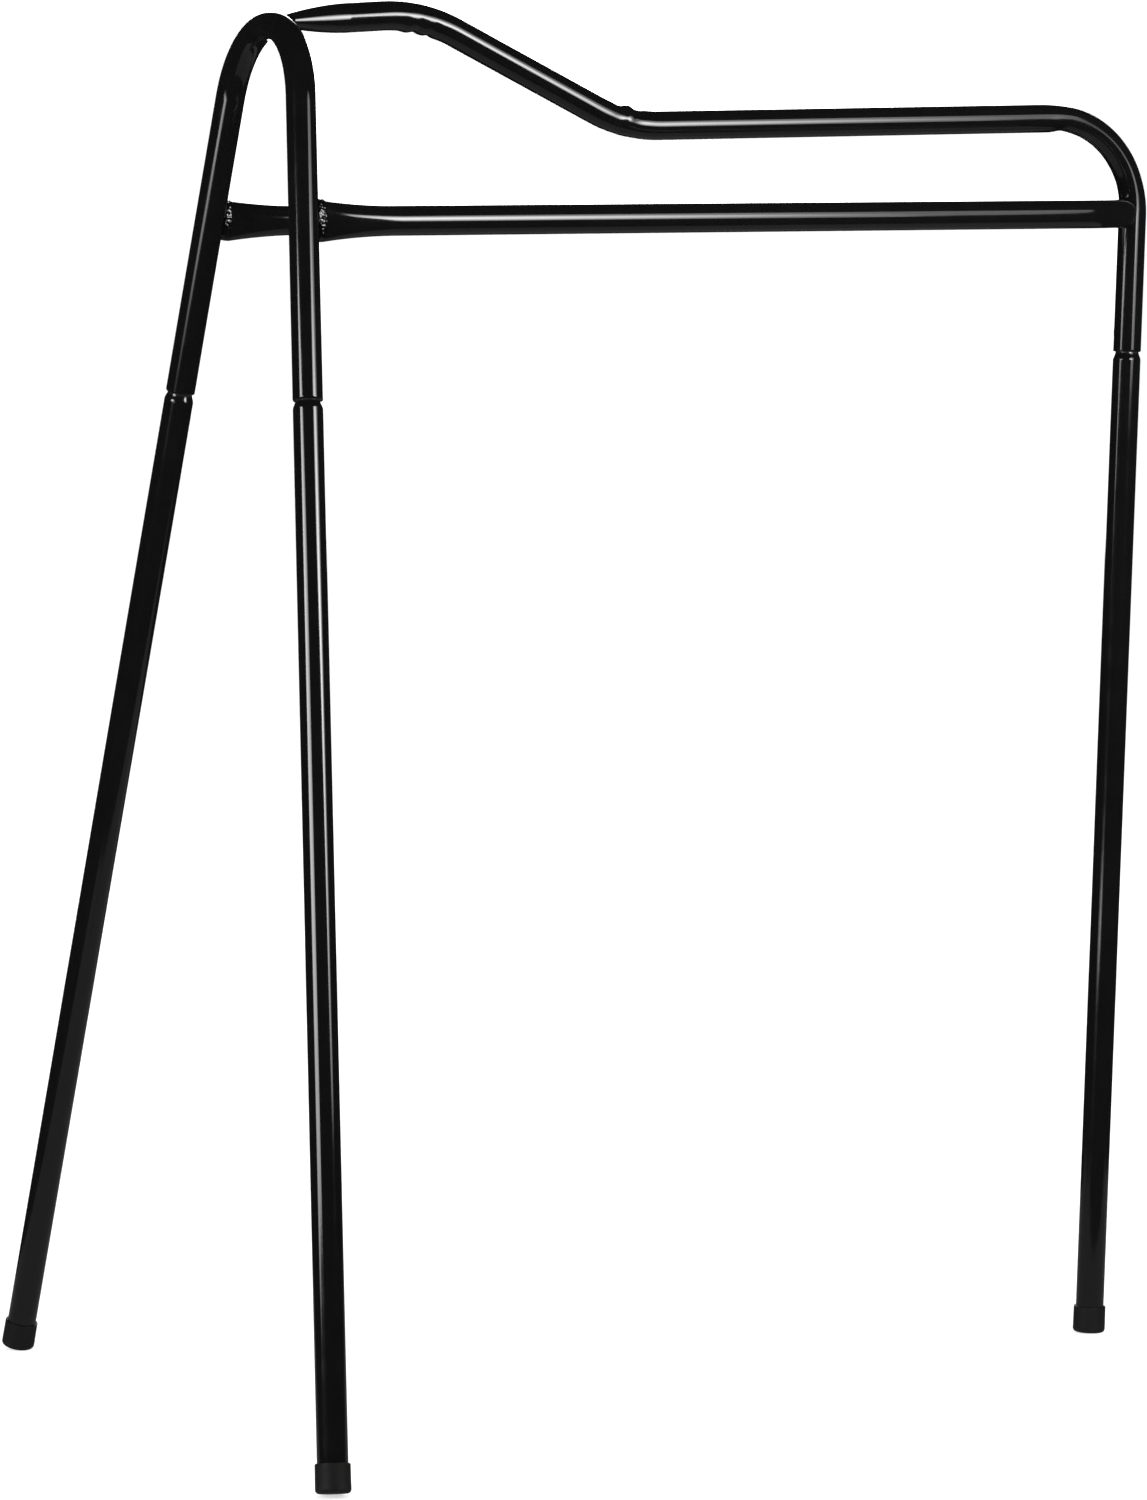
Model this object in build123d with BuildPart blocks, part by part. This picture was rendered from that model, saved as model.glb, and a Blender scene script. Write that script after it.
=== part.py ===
"""Three-legged saddle stand of bent steel tube with plug-in legs.

Frame: +X runs from the front hoop to the rear post, +Y to the saddle's right, +Z up. The origin
is on the floor, under the middle of the stand's bounding box. Units are millimetres and degrees.
"""

import os
from math import atan, cos, degrees, hypot, radians, sin, sqrt, tan

from build123d import *

# ---- Tube stock ----
tube_od = 19.05
tube_wall = 1.5

# ---- Legs and feet ----
leg_reach = 672.0  # cap bottom to socket rim, along the leg
neck_insertion = 45.0  # swaged neck inside the socket
neck_clearance = 0.1  # radial, neck in socket
neck_wall = 1.4
neck_chamfer = 1.0
shoulder_length = 5.2  # cone from the neck to the full tube
shoulder_seat = 0.05  # the cone starts this far below the socket's rim
cap_wall = 1.42
cap_height = 18.0
cap_floor = 3.0
cap_round = 2.5
cap_lip_round = 0.6
cap_clearance = 0.05  # radial, cap on tube

# ---- Front hoop ----
hoop_rake = 5.1  # the hoop's plane leans, feet forward
hoop_splay = 14.1  # each hoop leg from the hoop's centre line
hoop_drop = 114.5  # socket rim to the side rail's joint, along the hoop leg
hoop_half_width = 77.0  # centre line to tube axis at the side rail's joint
hoop_bend_radius = 59.0
rim_round = 1.2

# ---- Rear post ----
wheelbase = 643.5  # hoop axis to post axis, at the side rail's height
post_lean = 2.2  # foot towards the front

# ---- Top rail ----
fork_rise = 126.0  # side rail's height to the bill's tip
fork_slope = 3.5  # front segment, rising rearward
fork_bend_x = 115.0  # from the hoop's axis at the side rail
saddle_bend_x = 260.5
saddle_drop_slope = 26.0
saddle_slope = 1.15  # long rear segment, rising rearward
saddle_bend_radius = 102.0
rear_bend_radius = 61.0
bill_width = 27.0  # flattened front end, welded to the hoop
bill_height = 6.5
bill_bury = 6.0  # blank's overrun into the hoop, coped away
bill_throat = 12.0  # tip to the half-open section
bill_throat_width = 23.5
bill_throat_height = 13.5
bill_length = 42.0  # tip to the full round tube

# ---- Side rail ----
rail_rise = 3.4  # rear end above the front ends
rail_rear_half_width = 49.5  # at the post's axis, if the arms ran on
rail_cope = 2.4  # depth that the loop is coped over the post
flare_width = 11.0  # flattened front ends, tall and thin
flare_height = 26.0
flare_throat = 18.0  # square end to the half-open section
flare_throat_width = 15.8
flare_throat_height = 22.0
flare_length = 52.0  # square end to the full round tube
rail_end_gap = 2.6  # hoop's surface to the arm's square end, bridged by the weld

# ---- Socket dimples ----
dimple_height = 12.8  # above the rim
dimple_depth = 0.8
dimple_ball_r = 6.0

# ---- Weld beads ----
bead = 2.0  # how far a bead stands out from the tube's end
bead_lap = 2.0  # how far it runs along the tube
crotch_bead = 4.0  # beads above and below the loop, against the post
crotch_half_length = 6.5
crotch_root = 2.5  # how far their blanks reach into both tubes

os.makedirs("parts", exist_ok=True)


def sine(angle: float) -> float:
    """Sine of an angle in degrees."""
    return sin(radians(angle))


def cosine(angle: float) -> float:
    """Cosine of an angle in degrees."""
    return cos(radians(angle))


def slope(angle: float) -> float:
    """Rise over run of an angle in degrees."""
    return tan(radians(angle))


def save(piece: Part, name: str) -> None:
    """Label one finished piece and write it as its own STEP file."""
    piece.label = name
    export_step(piece, f"parts/{name}.step")


# ---- Derived sizes ----
tube_r = tube_od / 2
bore_r = tube_r - tube_wall
neck_r = bore_r - neck_clearance
neck_bore_r = neck_r - neck_wall
cap_bore_r = tube_r + cap_clearance
cap_r = cap_bore_r + cap_wall

# ---- Directions ----
hoop_up = Vector(sine(hoop_rake), 0, cosine(hoop_rake))
hoop_rearward = Vector(cosine(hoop_rake), 0, -sine(hoop_rake))
post_up = Vector(sine(post_lean), 0, cosine(post_lean))
post_forward = Vector(-cosine(post_lean), 0, sine(post_lean))


def hoop_leg_up(side: int) -> Vector:
    """Upward direction of a hoop leg, with side -1 at -Y and +1 at +Y."""
    return hoop_up * cosine(hoop_splay) - Vector(0, side, 0) * sine(hoop_splay)


def foot_height(leg_up: Vector) -> float:
    """Height of a cap's bottom centre when the lowest point of its rounded rim is on the floor."""
    return (cap_r - cap_round) * hypot(leg_up.X, leg_up.Y) + cap_round * (1 - leg_up.Z)


# ---- Heights, and places along X counted from the hoop's axis at the side rail ----
front_up = hoop_leg_up(1)
front_foot_x = -(leg_reach + hoop_drop) * front_up.X
rail_z = foot_height(front_up) + (leg_reach + hoop_drop) * front_up.Z
post_rim_z = foot_height(post_up) + leg_reach * post_up.Z
hoop_arc_rise = hoop_half_width / slope(hoop_splay) - hoop_bend_radius / sine(hoop_splay)
hoop_top_rise = hoop_arc_rise + hoop_bend_radius
bill_x = hoop_top_rise * hoop_up.X + tube_r


def post_x(z: float) -> float:
    """Place of the post's axis along X at a height."""
    return wheelbase + (z - rail_z) * slope(post_lean)


fork_z = rail_z + fork_rise
fork_bend_z = fork_z + (fork_bend_x - bill_x) * slope(fork_slope)
saddle_bend_z = fork_bend_z - (saddle_bend_x - fork_bend_x) * slope(saddle_drop_slope)
rear_corner_run = post_x(saddle_bend_z) - saddle_bend_x
rear_corner_run /= 1 - slope(saddle_slope) * slope(post_lean)
rear_corner_x = saddle_bend_x + rear_corner_run
rear_corner_z = saddle_bend_z + rear_corner_run * slope(saddle_slope)

# The bounding box runs from the front caps' rims to the outside of the rear bend.
rear_bend_tangent = rear_bend_radius * slope((90 + saddle_slope + post_lean) / 2)
rear_bend_x = rear_corner_x - rear_bend_tangent * cosine(saddle_slope)
rear_bend_x += rear_bend_radius * sine(saddle_slope)
stand_rear_x = rear_bend_x + rear_bend_radius + tube_r
stand_front_x = front_foot_x + cap_round * (front_up.X - 1)
stand_front_x -= (cap_r - cap_round) * sqrt(1 - front_up.X**2)
hoop_x = -(stand_front_x + stand_rear_x) / 2


def side_view(x: float, z: float) -> Vector:
    """A point in the stand's middle plane, from its place counted from the hoop."""
    return Vector(hoop_x + x, 0, z)


# ---- Front hoop: an inverted V with a round top and a socket at each end ----
hoop_plane = Plane(origin=side_view(0, rail_z), x_dir=(0, 1, 0), z_dir=hoop_rearward)
hoop_rim_half = hoop_half_width + hoop_drop * sine(hoop_splay)
hoop_rim_fall = -hoop_drop * cosine(hoop_splay)
with BuildLine(hoop_plane) as hoop_path:
    FilletPolyline(
        (-hoop_rim_half, hoop_rim_fall),
        (0, hoop_half_width / slope(hoop_splay)),
        (hoop_rim_half, hoop_rim_fall),
        radius=hoop_bend_radius,
    )
hoop_wire = hoop_path.wires()[0]
hoop_end = Plane(origin=hoop_wire @ 0, z_dir=hoop_wire % 0)

with BuildPart() as hoop_outline:
    with BuildSketch(hoop_end):
        Circle(tube_r)
    sweep(path=hoop_wire)

with BuildPart() as front_hoop:
    add(hoop_outline.part)
    with BuildSketch(hoop_end):
        Circle(bore_r)
    sweep(path=hoop_wire, mode=Mode.SUBTRACT)
    for rim in front_hoop.faces().filter_by(GeomType.PLANE):
        fillet(rim.outer_wire().edges(), rim_round)
    for side in (-1, 1):
        rim_centre = hoop_wire @ ((1 + side) / 2)
        dimple_out = tube_r + dimple_ball_r - dimple_depth
        with Locations(rim_centre + hoop_leg_up(side) * dimple_height + hoop_rearward * dimple_out):
            Sphere(dimple_ball_r, mode=Mode.SUBTRACT)
save(front_hoop.part, "front_hoop")

# ---- Top rail: bill, fork, saddle, rear bend and post in one tube ----
bill_plane = Plane(
    origin=side_view(bill_x, fork_z),
    x_dir=(0, 1, 0),
    z_dir=(cosine(fork_slope), 0, sine(fork_slope)),
)
bill_end = bill_plane.offset(bill_length)
with BuildLine() as top_rail_path:
    FilletPolyline(
        bill_end.origin,
        side_view(fork_bend_x, fork_bend_z),
        side_view(saddle_bend_x, saddle_bend_z),
        side_view(rear_corner_x, rear_corner_z),
        side_view(post_x(post_rim_z), post_rim_z),
        radius=[saddle_bend_radius, saddle_bend_radius, rear_bend_radius],
    )
top_rail_wire = top_rail_path.wires()[0]


def bill_sections(inset: float) -> list[Sketch]:
    """The bill's three sections, each inset from the tube's outside, for a loft."""
    with BuildSketch(bill_plane.offset(-bill_bury)) as tip:
        Ellipse(bill_width / 2 - inset, bill_height / 2 - inset)
    with BuildSketch(bill_plane.offset(bill_throat)) as throat:
        Ellipse(bill_throat_width / 2 - inset, bill_throat_height / 2 - inset)
    with BuildSketch(bill_end) as full_tube:
        Circle(tube_r - inset)
    return [tip.sketch, throat.sketch, full_tube.sketch]


with BuildPart() as top_rail_outline:
    loft(sections=bill_sections(0))
    with BuildSketch(bill_end):
        Circle(tube_r)
    sweep(path=top_rail_wire)

with BuildPart() as top_rail:
    add(top_rail_outline.part)
    loft(sections=bill_sections(tube_wall), mode=Mode.SUBTRACT)
    with BuildSketch(bill_end):
        Circle(bore_r)
    sweep(path=top_rail_wire, mode=Mode.SUBTRACT)
    post_rim = top_rail.faces().filter_by(GeomType.PLANE).sort_by(Axis.Z)[0]
    fillet(post_rim.outer_wire().edges(), rim_round)
    dimple_out = tube_r + dimple_ball_r - dimple_depth
    with Locations(top_rail_wire @ 1 + post_up * dimple_height + post_forward * dimple_out):
        Sphere(dimple_ball_r, mode=Mode.SUBTRACT)
    add(hoop_outline.part, mode=Mode.SUBTRACT)
save(top_rail.part, "top_rail")

# ---- Side rail: two converging arms and a round loop, coped to the post ----
rail_tilt = degrees(atan(rail_rise / wheelbase))
rail_plane = Plane(
    origin=side_view(0, rail_z),
    x_dir=(cosine(rail_tilt), 0, sine(rail_tilt)),
    z_dir=(-sine(rail_tilt), 0, cosine(rail_tilt)),
)
arm_taper = (hoop_half_width - rail_rear_half_width) / wheelbase
arm_angle = degrees(atan(arm_taper))
arm_start = tube_r / sqrt(1 - front_up.X**2) + rail_end_gap
loop_rear = post_x(rail_z + rail_rise) - tube_od + rail_cope
loop_radius = (hoop_half_width - arm_taper * loop_rear) * cosine(arm_angle)
loop_radius /= 1 - arm_taper * cosine(arm_angle)
loop_centre = loop_rear - loop_radius
loop_tangent_x = loop_centre + loop_radius * sine(arm_angle)


def arm_y(x: float) -> float:
    """Distance of an arm's axis from the middle plane."""
    return hoop_half_width - arm_taper * x


def arm_section(x: float, side: int) -> Plane:
    """Plane across an arm, its own X level and its own Z running rearward along the arm."""
    rearward = rail_plane.from_local_coords(
        Vector(cosine(arm_angle), -side * sine(arm_angle), 0)
    ) - Vector(*rail_plane.origin)
    level = rail_plane.z_dir.cross(rearward)
    point = rail_plane.from_local_coords(Vector(x, side * arm_y(x), 0))
    return Plane(origin=point, x_dir=level, z_dir=rearward)


with BuildLine(rail_plane) as side_rail_path:
    Line(
        (arm_start + flare_length, -arm_y(arm_start + flare_length)),
        (loop_tangent_x, -arm_y(loop_tangent_x)),
    )
    ThreePointArc(
        (loop_tangent_x, -arm_y(loop_tangent_x)),
        (loop_rear, 0),
        (loop_tangent_x, arm_y(loop_tangent_x)),
    )
    Line(
        (loop_tangent_x, arm_y(loop_tangent_x)),
        (arm_start + flare_length, arm_y(arm_start + flare_length)),
    )
side_rail_wire = side_rail_path.wires()[0]


def flare_sections(side: int, inset: float) -> list[Sketch]:
    """A flared arm end's three sections, each inset from the tube's outside, for a loft."""
    with BuildSketch(arm_section(arm_start, side)) as mouth:
        Ellipse(flare_width / 2 - inset, flare_height / 2 - inset)
    with BuildSketch(arm_section(arm_start + flare_throat, side)) as throat:
        Ellipse(flare_throat_width / 2 - inset, flare_throat_height / 2 - inset)
    with BuildSketch(arm_section(arm_start + flare_length, side)) as full_tube:
        Circle(tube_r - inset)
    return [mouth.sketch, throat.sketch, full_tube.sketch]


with BuildPart() as side_rail_outline:
    for side in (-1, 1):
        loft(sections=flare_sections(side, 0))
    with BuildSketch(arm_section(arm_start + flare_length, -1)):
        Circle(tube_r)
    sweep(path=side_rail_wire)

with BuildPart() as side_rail:
    add(side_rail_outline.part)
    for side in (-1, 1):
        loft(sections=flare_sections(side, tube_wall), mode=Mode.SUBTRACT)
    with BuildSketch(arm_section(arm_start + flare_length, -1)):
        Circle(bore_r)
    sweep(path=side_rail_wire, mode=Mode.SUBTRACT)
    add(top_rail_outline.part, mode=Mode.SUBTRACT)
save(side_rail.part, "side_rail")

# ---- Weld beads ----
with BuildPart() as hoop_top_weld:
    with BuildSketch(bill_plane.offset(-bill_bury)):
        Ellipse(bill_width / 2 + bead, bill_height / 2 + bead)
    extrude(amount=bill_bury + bead_lap)
    add(hoop_outline.part, mode=Mode.SUBTRACT)
    add(top_rail_outline.part, mode=Mode.SUBTRACT)
save(hoop_top_weld.part, "hoop_top_weld")

for side, weld_name in ((-1, "left_rail_weld"), (1, "right_rail_weld")):
    with BuildPart() as rail_weld:
        with BuildSketch(arm_section(arm_start, side).offset(-tube_r)):
            Ellipse(flare_width / 2 + bead, flare_height / 2 + bead)
            Ellipse(flare_width / 2 - tube_wall, flare_height / 2 - tube_wall, mode=Mode.SUBTRACT)
        extrude(amount=tube_r + bead_lap)
        add(hoop_outline.part, mode=Mode.SUBTRACT)
        add(side_rail_outline.part, mode=Mode.SUBTRACT)
    save(rail_weld.part, weld_name)

crotch_x = post_x(rail_z + rail_rise) - tube_r
crotch_rise = sqrt(tube_r**2 - (tube_r - rail_cope) ** 2)
crotch_plane = Plane(
    origin=side_view(crotch_x, rail_z + rail_rise), x_dir=(1, 0, 0), z_dir=(0, -1, 0)
)
for up, weld_name in ((1, "loop_top_weld"), (-1, "loop_bottom_weld")):
    with BuildPart() as loop_weld:
        with BuildSketch(crotch_plane):
            with BuildLine():
                Polyline(
                    (crotch_root, up * (crotch_rise - crotch_root)),
                    (crotch_root, up * (crotch_rise + crotch_bead + crotch_root)),
                    (-crotch_bead - crotch_root, up * (crotch_rise - crotch_root)),
                    close=True,
                )
            make_face()
        extrude(amount=crotch_half_length, both=True)
        add(side_rail_outline.part, mode=Mode.SUBTRACT)
        add(top_rail_outline.part, mode=Mode.SUBTRACT)
    save(loop_weld.part, weld_name)

# ---- Plug-in legs and their caps ----
leg_axes = {
    "front_left": (hoop_wire @ 0, hoop_leg_up(-1)),
    "front_right": (hoop_wire @ 1, hoop_leg_up(1)),
    "rear": (top_rail_wire @ 1, post_up),
}
for place, (rim_centre, leg_up) in leg_axes.items():
    foot = rim_centre - leg_up * leg_reach
    leg_axis = Axis(foot, leg_up)
    radial = Vector(0, 1, 0).cross(leg_up)
    profile_plane = Plane(origin=foot, x_dir=radial, z_dir=radial.cross(leg_up))
    neck_start = leg_reach - shoulder_seat
    shoulder_start = neck_start - shoulder_length
    neck_tip = leg_reach + neck_insertion

    with BuildPart() as leg:
        with BuildSketch(profile_plane):
            with BuildLine():
                Polyline(
                    (tube_r, cap_floor),
                    (tube_r, shoulder_start),
                    (neck_r, neck_start),
                    (neck_r, neck_tip - neck_chamfer),
                    (neck_r - neck_chamfer, neck_tip),
                    (neck_bore_r, neck_tip),
                    (neck_bore_r, neck_start),
                    (bore_r, shoulder_start),
                    (bore_r, cap_floor),
                    close=True,
                )
            make_face()
        revolve(axis=leg_axis)
    save(leg.part, f"{place}_leg")

    with BuildPart() as cap:
        with BuildSketch(profile_plane):
            with BuildLine():
                Polyline(
                    (0, 0),
                    (cap_r, 0),
                    (cap_r, cap_height),
                    (cap_bore_r, cap_height),
                    (cap_bore_r, cap_floor),
                    (0, cap_floor),
                    close=True,
                )
            make_face()
        revolve(axis=leg_axis)
        cap_rings = cap.edges().filter_by(GeomType.CIRCLE).group_by(leg_axis)
        fillet(cap_rings[0], cap_round)
        fillet(cap_rings[-1].sort_by(SortBy.RADIUS)[-1], cap_lip_round)
    save(cap.part, f"{place}_cap")
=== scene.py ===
"""Looks of a three-legged saddle stand: bent, pressed and swaged steel tube under gloss black powder coat.

Sizes are millimetres and degrees in the classes' fields, and metres in the meshes. +X runs from the
front hoop to the rear post, +Y to the saddle's right and +Z up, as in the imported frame.
"""

import logging
import math
from dataclasses import dataclass, field
from enum import Enum
from typing import Any, Callable, Sequence

import bpy
import numpy as np
from numpy.typing import NDArray
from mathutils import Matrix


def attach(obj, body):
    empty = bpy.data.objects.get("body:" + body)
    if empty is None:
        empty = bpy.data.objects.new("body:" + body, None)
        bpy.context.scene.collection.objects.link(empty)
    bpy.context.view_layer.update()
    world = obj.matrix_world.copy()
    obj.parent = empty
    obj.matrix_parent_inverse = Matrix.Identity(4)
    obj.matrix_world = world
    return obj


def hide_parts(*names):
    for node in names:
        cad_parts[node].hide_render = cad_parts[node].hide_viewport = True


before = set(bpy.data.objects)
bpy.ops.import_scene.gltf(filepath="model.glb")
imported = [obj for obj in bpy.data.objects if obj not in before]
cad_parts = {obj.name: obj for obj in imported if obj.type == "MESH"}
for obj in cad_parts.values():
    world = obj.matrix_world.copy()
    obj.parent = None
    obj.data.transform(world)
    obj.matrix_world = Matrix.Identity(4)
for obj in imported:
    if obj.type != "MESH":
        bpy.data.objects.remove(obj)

Array = NDArray[np.float64]
Triple = tuple[float, float, float]
LOG = logging.getLogger("saddle_stand")
MM = 0.001
WHITE = "#ffffff"
SOCKET_WEAR = 0.55
PRINT_SHARPNESS = 14.0
SEAT = 0.02
UP = np.array([0.0, 0.0, 1.0])
ACROSS = np.array([0.0, 1.0, 0.0])


class Slot(Enum):
    """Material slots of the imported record."""

    FRAME_COAT = "powder_coat"
    WELD = "weld_bead"
    LEG_COAT = "leg_powder_coat"
    CAP = "cap_rubber"


class Side(Enum):
    """Which of the hoop's two legs, by the sign of Y."""

    LEFT = -1
    RIGHT = 1


class RimCut(Enum):
    """How a tube's end is finished: outer and inner rounding of the wall, in millimetres."""

    ROLLED = (1.2, 0.2)
    SAWN = (0.3, 0.2)


# ---------------------------------------------------------------- numbers and vectors


def unit(vector: Sequence[float] | Array) -> Array:
    """Scale a vector to length 1."""
    v = np.asarray(vector, float)
    return v / np.linalg.norm(v)


def spaced(start: float, stop: float, step: float) -> Array:
    """Even stations from start to stop, no further apart than step."""
    return np.linspace(start, stop, max(2, int(math.ceil(abs(stop - start) / step)) + 1))


def swell(x: Array, centre: float, width: float) -> Array:
    """Bell curve of height 1: exp(-((x - centre) / width)^2)."""
    return np.exp(-(((x - centre) / width) ** 2))


def lobe(theta: Array, centre: float, width: float) -> Array:
    """Bell curve round a section: exp((cos(theta - centre) - 1) / width^2)."""
    return np.exp((np.cos(theta - centre) - 1.0) / width**2)


def ease(x: Array) -> Array:
    """Smooth step from 0 to 1: 3x^2 - 2x^3, held at its ends."""
    t = np.clip(x, 0.0, 1.0)
    return t * t * (3.0 - 2.0 * t)


def lumps(points: Array, centres: Array, sizes: Array, heights: Array) -> Array:
    """Height of scattered round lumps at each point.

    Formula: the sum over the lumps of height * exp(-(distance / size)^2).

    Args:
        points: Places, any leading shape and a last axis of 3.
        centres: Lump centres, one row each.
        sizes: Radius of each lump.
        heights: Height of each lump.

    Returns:
        One height for each point.
    """
    gap = np.linalg.norm(points[..., None, :] - centres, axis=-1)
    return np.sum(heights * np.exp(-((gap / sizes) ** 2)), axis=-1)


def push_out(points: Array, centres: Array, radius: Array | float) -> Array:
    """Cope a surface round a tube: points inside the tube's radius move straight out to it.

    Args:
        points: The surface's points.
        centres: For each point, the nearest point of the tube's axis.
        radius: The tube's radius, one number or one for each point.

    Returns:
        The points, none of them inside the tube.
    """
    away = points - centres
    gap = np.linalg.norm(away, axis=-1)
    stretch = np.maximum(gap, radius) / np.maximum(gap, 1e-9)
    return centres + away * stretch[..., None]


def near_line(points: Array, origin: Array, direction: Array) -> Array:
    """Nearest points of a straight line: origin + ((p - origin) . d) d."""
    return origin + ((points - origin) @ direction)[..., None] * direction


def ridges(s: Array, centre: float, rows: Sequence[Triple]) -> Array:
    """Ridges and hollows along a tube: the sum of height * exp(-((s - centre - offset) / width)^2).

    Args:
        s: Stations.
        centre: Station that the offsets are counted from.
        rows: Height, offset and width of each ridge. A hollow has a negative height.

    Returns:
        One height for each station.
    """
    return np.sum([height * swell(s, centre + offset, width) for height, offset, width in rows], axis=0)


# ---------------------------------------------------------------- sizes shared by the sub-assemblies


@dataclass(frozen=True)
class StandSizes:
    """The stand's driving sizes and the places that follow from them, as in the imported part."""

    tube_od: float = 19.05
    tube_wall: float = 1.5
    leg_reach: float = 672.0
    neck_insertion: float = 45.0
    neck_clearance: float = 0.1
    neck_wall: float = 1.4
    shoulder_length: float = 5.2
    cap_wall: float = 1.42
    cap_height: float = 18.0
    cap_floor: float = 3.0
    cap_round: float = 2.5
    cap_clearance: float = 0.05
    hoop_rake: float = 5.1
    hoop_splay: float = 14.1
    hoop_drop: float = 114.5
    hoop_half_width: float = 77.0
    hoop_bend_radius: float = 59.0
    wheelbase: float = 643.5
    post_lean: float = 2.2
    fork_rise: float = 126.0
    fork_slope: float = 3.5
    fork_bend_x: float = 115.0
    saddle_bend_x: float = 260.5
    saddle_drop_slope: float = 26.0
    saddle_slope: float = 1.15
    saddle_bend_radius: float = 102.0
    rear_bend_radius: float = 61.0
    rail_rise: float = 3.4
    rail_rear_half_width: float = 49.5
    rail_cope: float = 2.4
    rail_end_gap: float = 2.6

    @property
    def tube_r(self) -> float:
        """Outside radius of the tube."""
        return self.tube_od / 2

    @property
    def bore_r(self) -> float:
        """Inside radius of the tube."""
        return self.tube_r - self.tube_wall

    @property
    def cap_r(self) -> float:
        """Outside radius of a foot cap."""
        return self.tube_r + self.cap_clearance + self.cap_wall

    @property
    def hoop_up(self) -> Array:
        """Direction up the raked plane of the hoop."""
        a = math.radians(self.hoop_rake)
        return np.array([math.sin(a), 0.0, math.cos(a)])

    @property
    def hoop_rearward(self) -> Array:
        """Direction square to the hoop's plane, towards the post."""
        a = math.radians(self.hoop_rake)
        return np.array([math.cos(a), 0.0, -math.sin(a)])

    @property
    def post_up(self) -> Array:
        """Upward direction of the rear post."""
        a = math.radians(self.post_lean)
        return np.array([math.sin(a), 0.0, math.cos(a)])

    def hoop_leg_up(self, side: Side) -> Array:
        """Upward direction of one of the hoop's legs."""
        a = math.radians(self.hoop_splay)
        return self.hoop_up * math.cos(a) - ACROSS * side.value * math.sin(a)

    def foot_height(self, leg_up: Array) -> float:
        """Height of a cap's bottom centre when its rounded rim stands on the floor."""
        lean = math.hypot(leg_up[0], leg_up[1])
        return (self.cap_r - self.cap_round) * lean + self.cap_round * (1 - leg_up[2])

    @property
    def rail_z(self) -> float:
        """Height of the side rail's front ends."""
        up = self.hoop_leg_up(Side.RIGHT)
        return self.foot_height(up) + (self.leg_reach + self.hoop_drop) * up[2]

    @property
    def post_rim_z(self) -> float:
        """Height of the rear socket's rim."""
        return self.foot_height(self.post_up) + self.leg_reach * self.post_up[2]

    @property
    def hoop_arc_rise(self) -> float:
        """Side rail's joint to the centre of the hoop's bend, up the hoop's plane."""
        a = math.radians(self.hoop_splay)
        return self.hoop_half_width / math.tan(a) - self.hoop_bend_radius / math.sin(a)

    @property
    def bill_x(self) -> float:
        """Place of the bill's tip, counted from the hoop's axis at the side rail."""
        top = self.hoop_arc_rise + self.hoop_bend_radius
        return top * self.hoop_up[0] + self.tube_r

    def post_x(self, z: float) -> float:
        """Place of the post's axis along X at a height."""
        return self.wheelbase + (z - self.rail_z) * math.tan(math.radians(self.post_lean))

    @property
    def side_corners(self) -> Array:
        """The top rail's corners in the middle plane, as rows of place along X and height."""
        drop = math.tan(math.radians(self.saddle_drop_slope))
        rise = math.tan(math.radians(self.saddle_slope))
        lean = math.tan(math.radians(self.post_lean))
        fork_z = self.rail_z + self.fork_rise
        fork = math.tan(math.radians(self.fork_slope))
        bend_z = fork_z + (self.fork_bend_x - self.bill_x) * fork
        saddle_z = bend_z - (self.saddle_bend_x - self.fork_bend_x) * drop
        run = (self.post_x(saddle_z) - self.saddle_bend_x) / (1 - rise * lean)
        return np.array(
            [
                [self.bill_x, fork_z],
                [self.fork_bend_x, bend_z],
                [self.saddle_bend_x, saddle_z],
                [self.saddle_bend_x + run, saddle_z + run * rise],
                [self.post_x(self.post_rim_z), self.post_rim_z],
            ]
        )

    @property
    def hoop_x(self) -> float:
        """Place of the hoop's axis at the side rail, with the origin under the box's middle."""
        up = self.hoop_leg_up(Side.RIGHT)
        slope, lean = math.radians(self.saddle_slope), math.radians(self.post_lean)
        half_turn = (math.pi / 2 + slope + lean) / 2
        corner = self.side_corners[3, 0]
        rear = corner - self.rear_bend_radius * math.tan(half_turn) * math.cos(slope)
        rear += self.rear_bend_radius * (math.sin(slope) + 1) + self.tube_r
        front = -(self.leg_reach + self.hoop_drop) * up[0] + self.cap_round * (up[0] - 1)
        front -= (self.cap_r - self.cap_round) * math.sqrt(1 - up[0] ** 2)
        return -(front + rear) / 2

    def middle(self, x: float, z: float) -> Array:
        """A point in the stand's middle plane, from its place counted from the hoop."""
        return np.array([self.hoop_x + x, 0.0, z])

    @property
    def hoop_origin(self) -> Array:
        """Middle of the hoop at the side rail's height."""
        return self.middle(0.0, self.rail_z)


# ---------------------------------------------------------------- paths and skins


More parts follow.
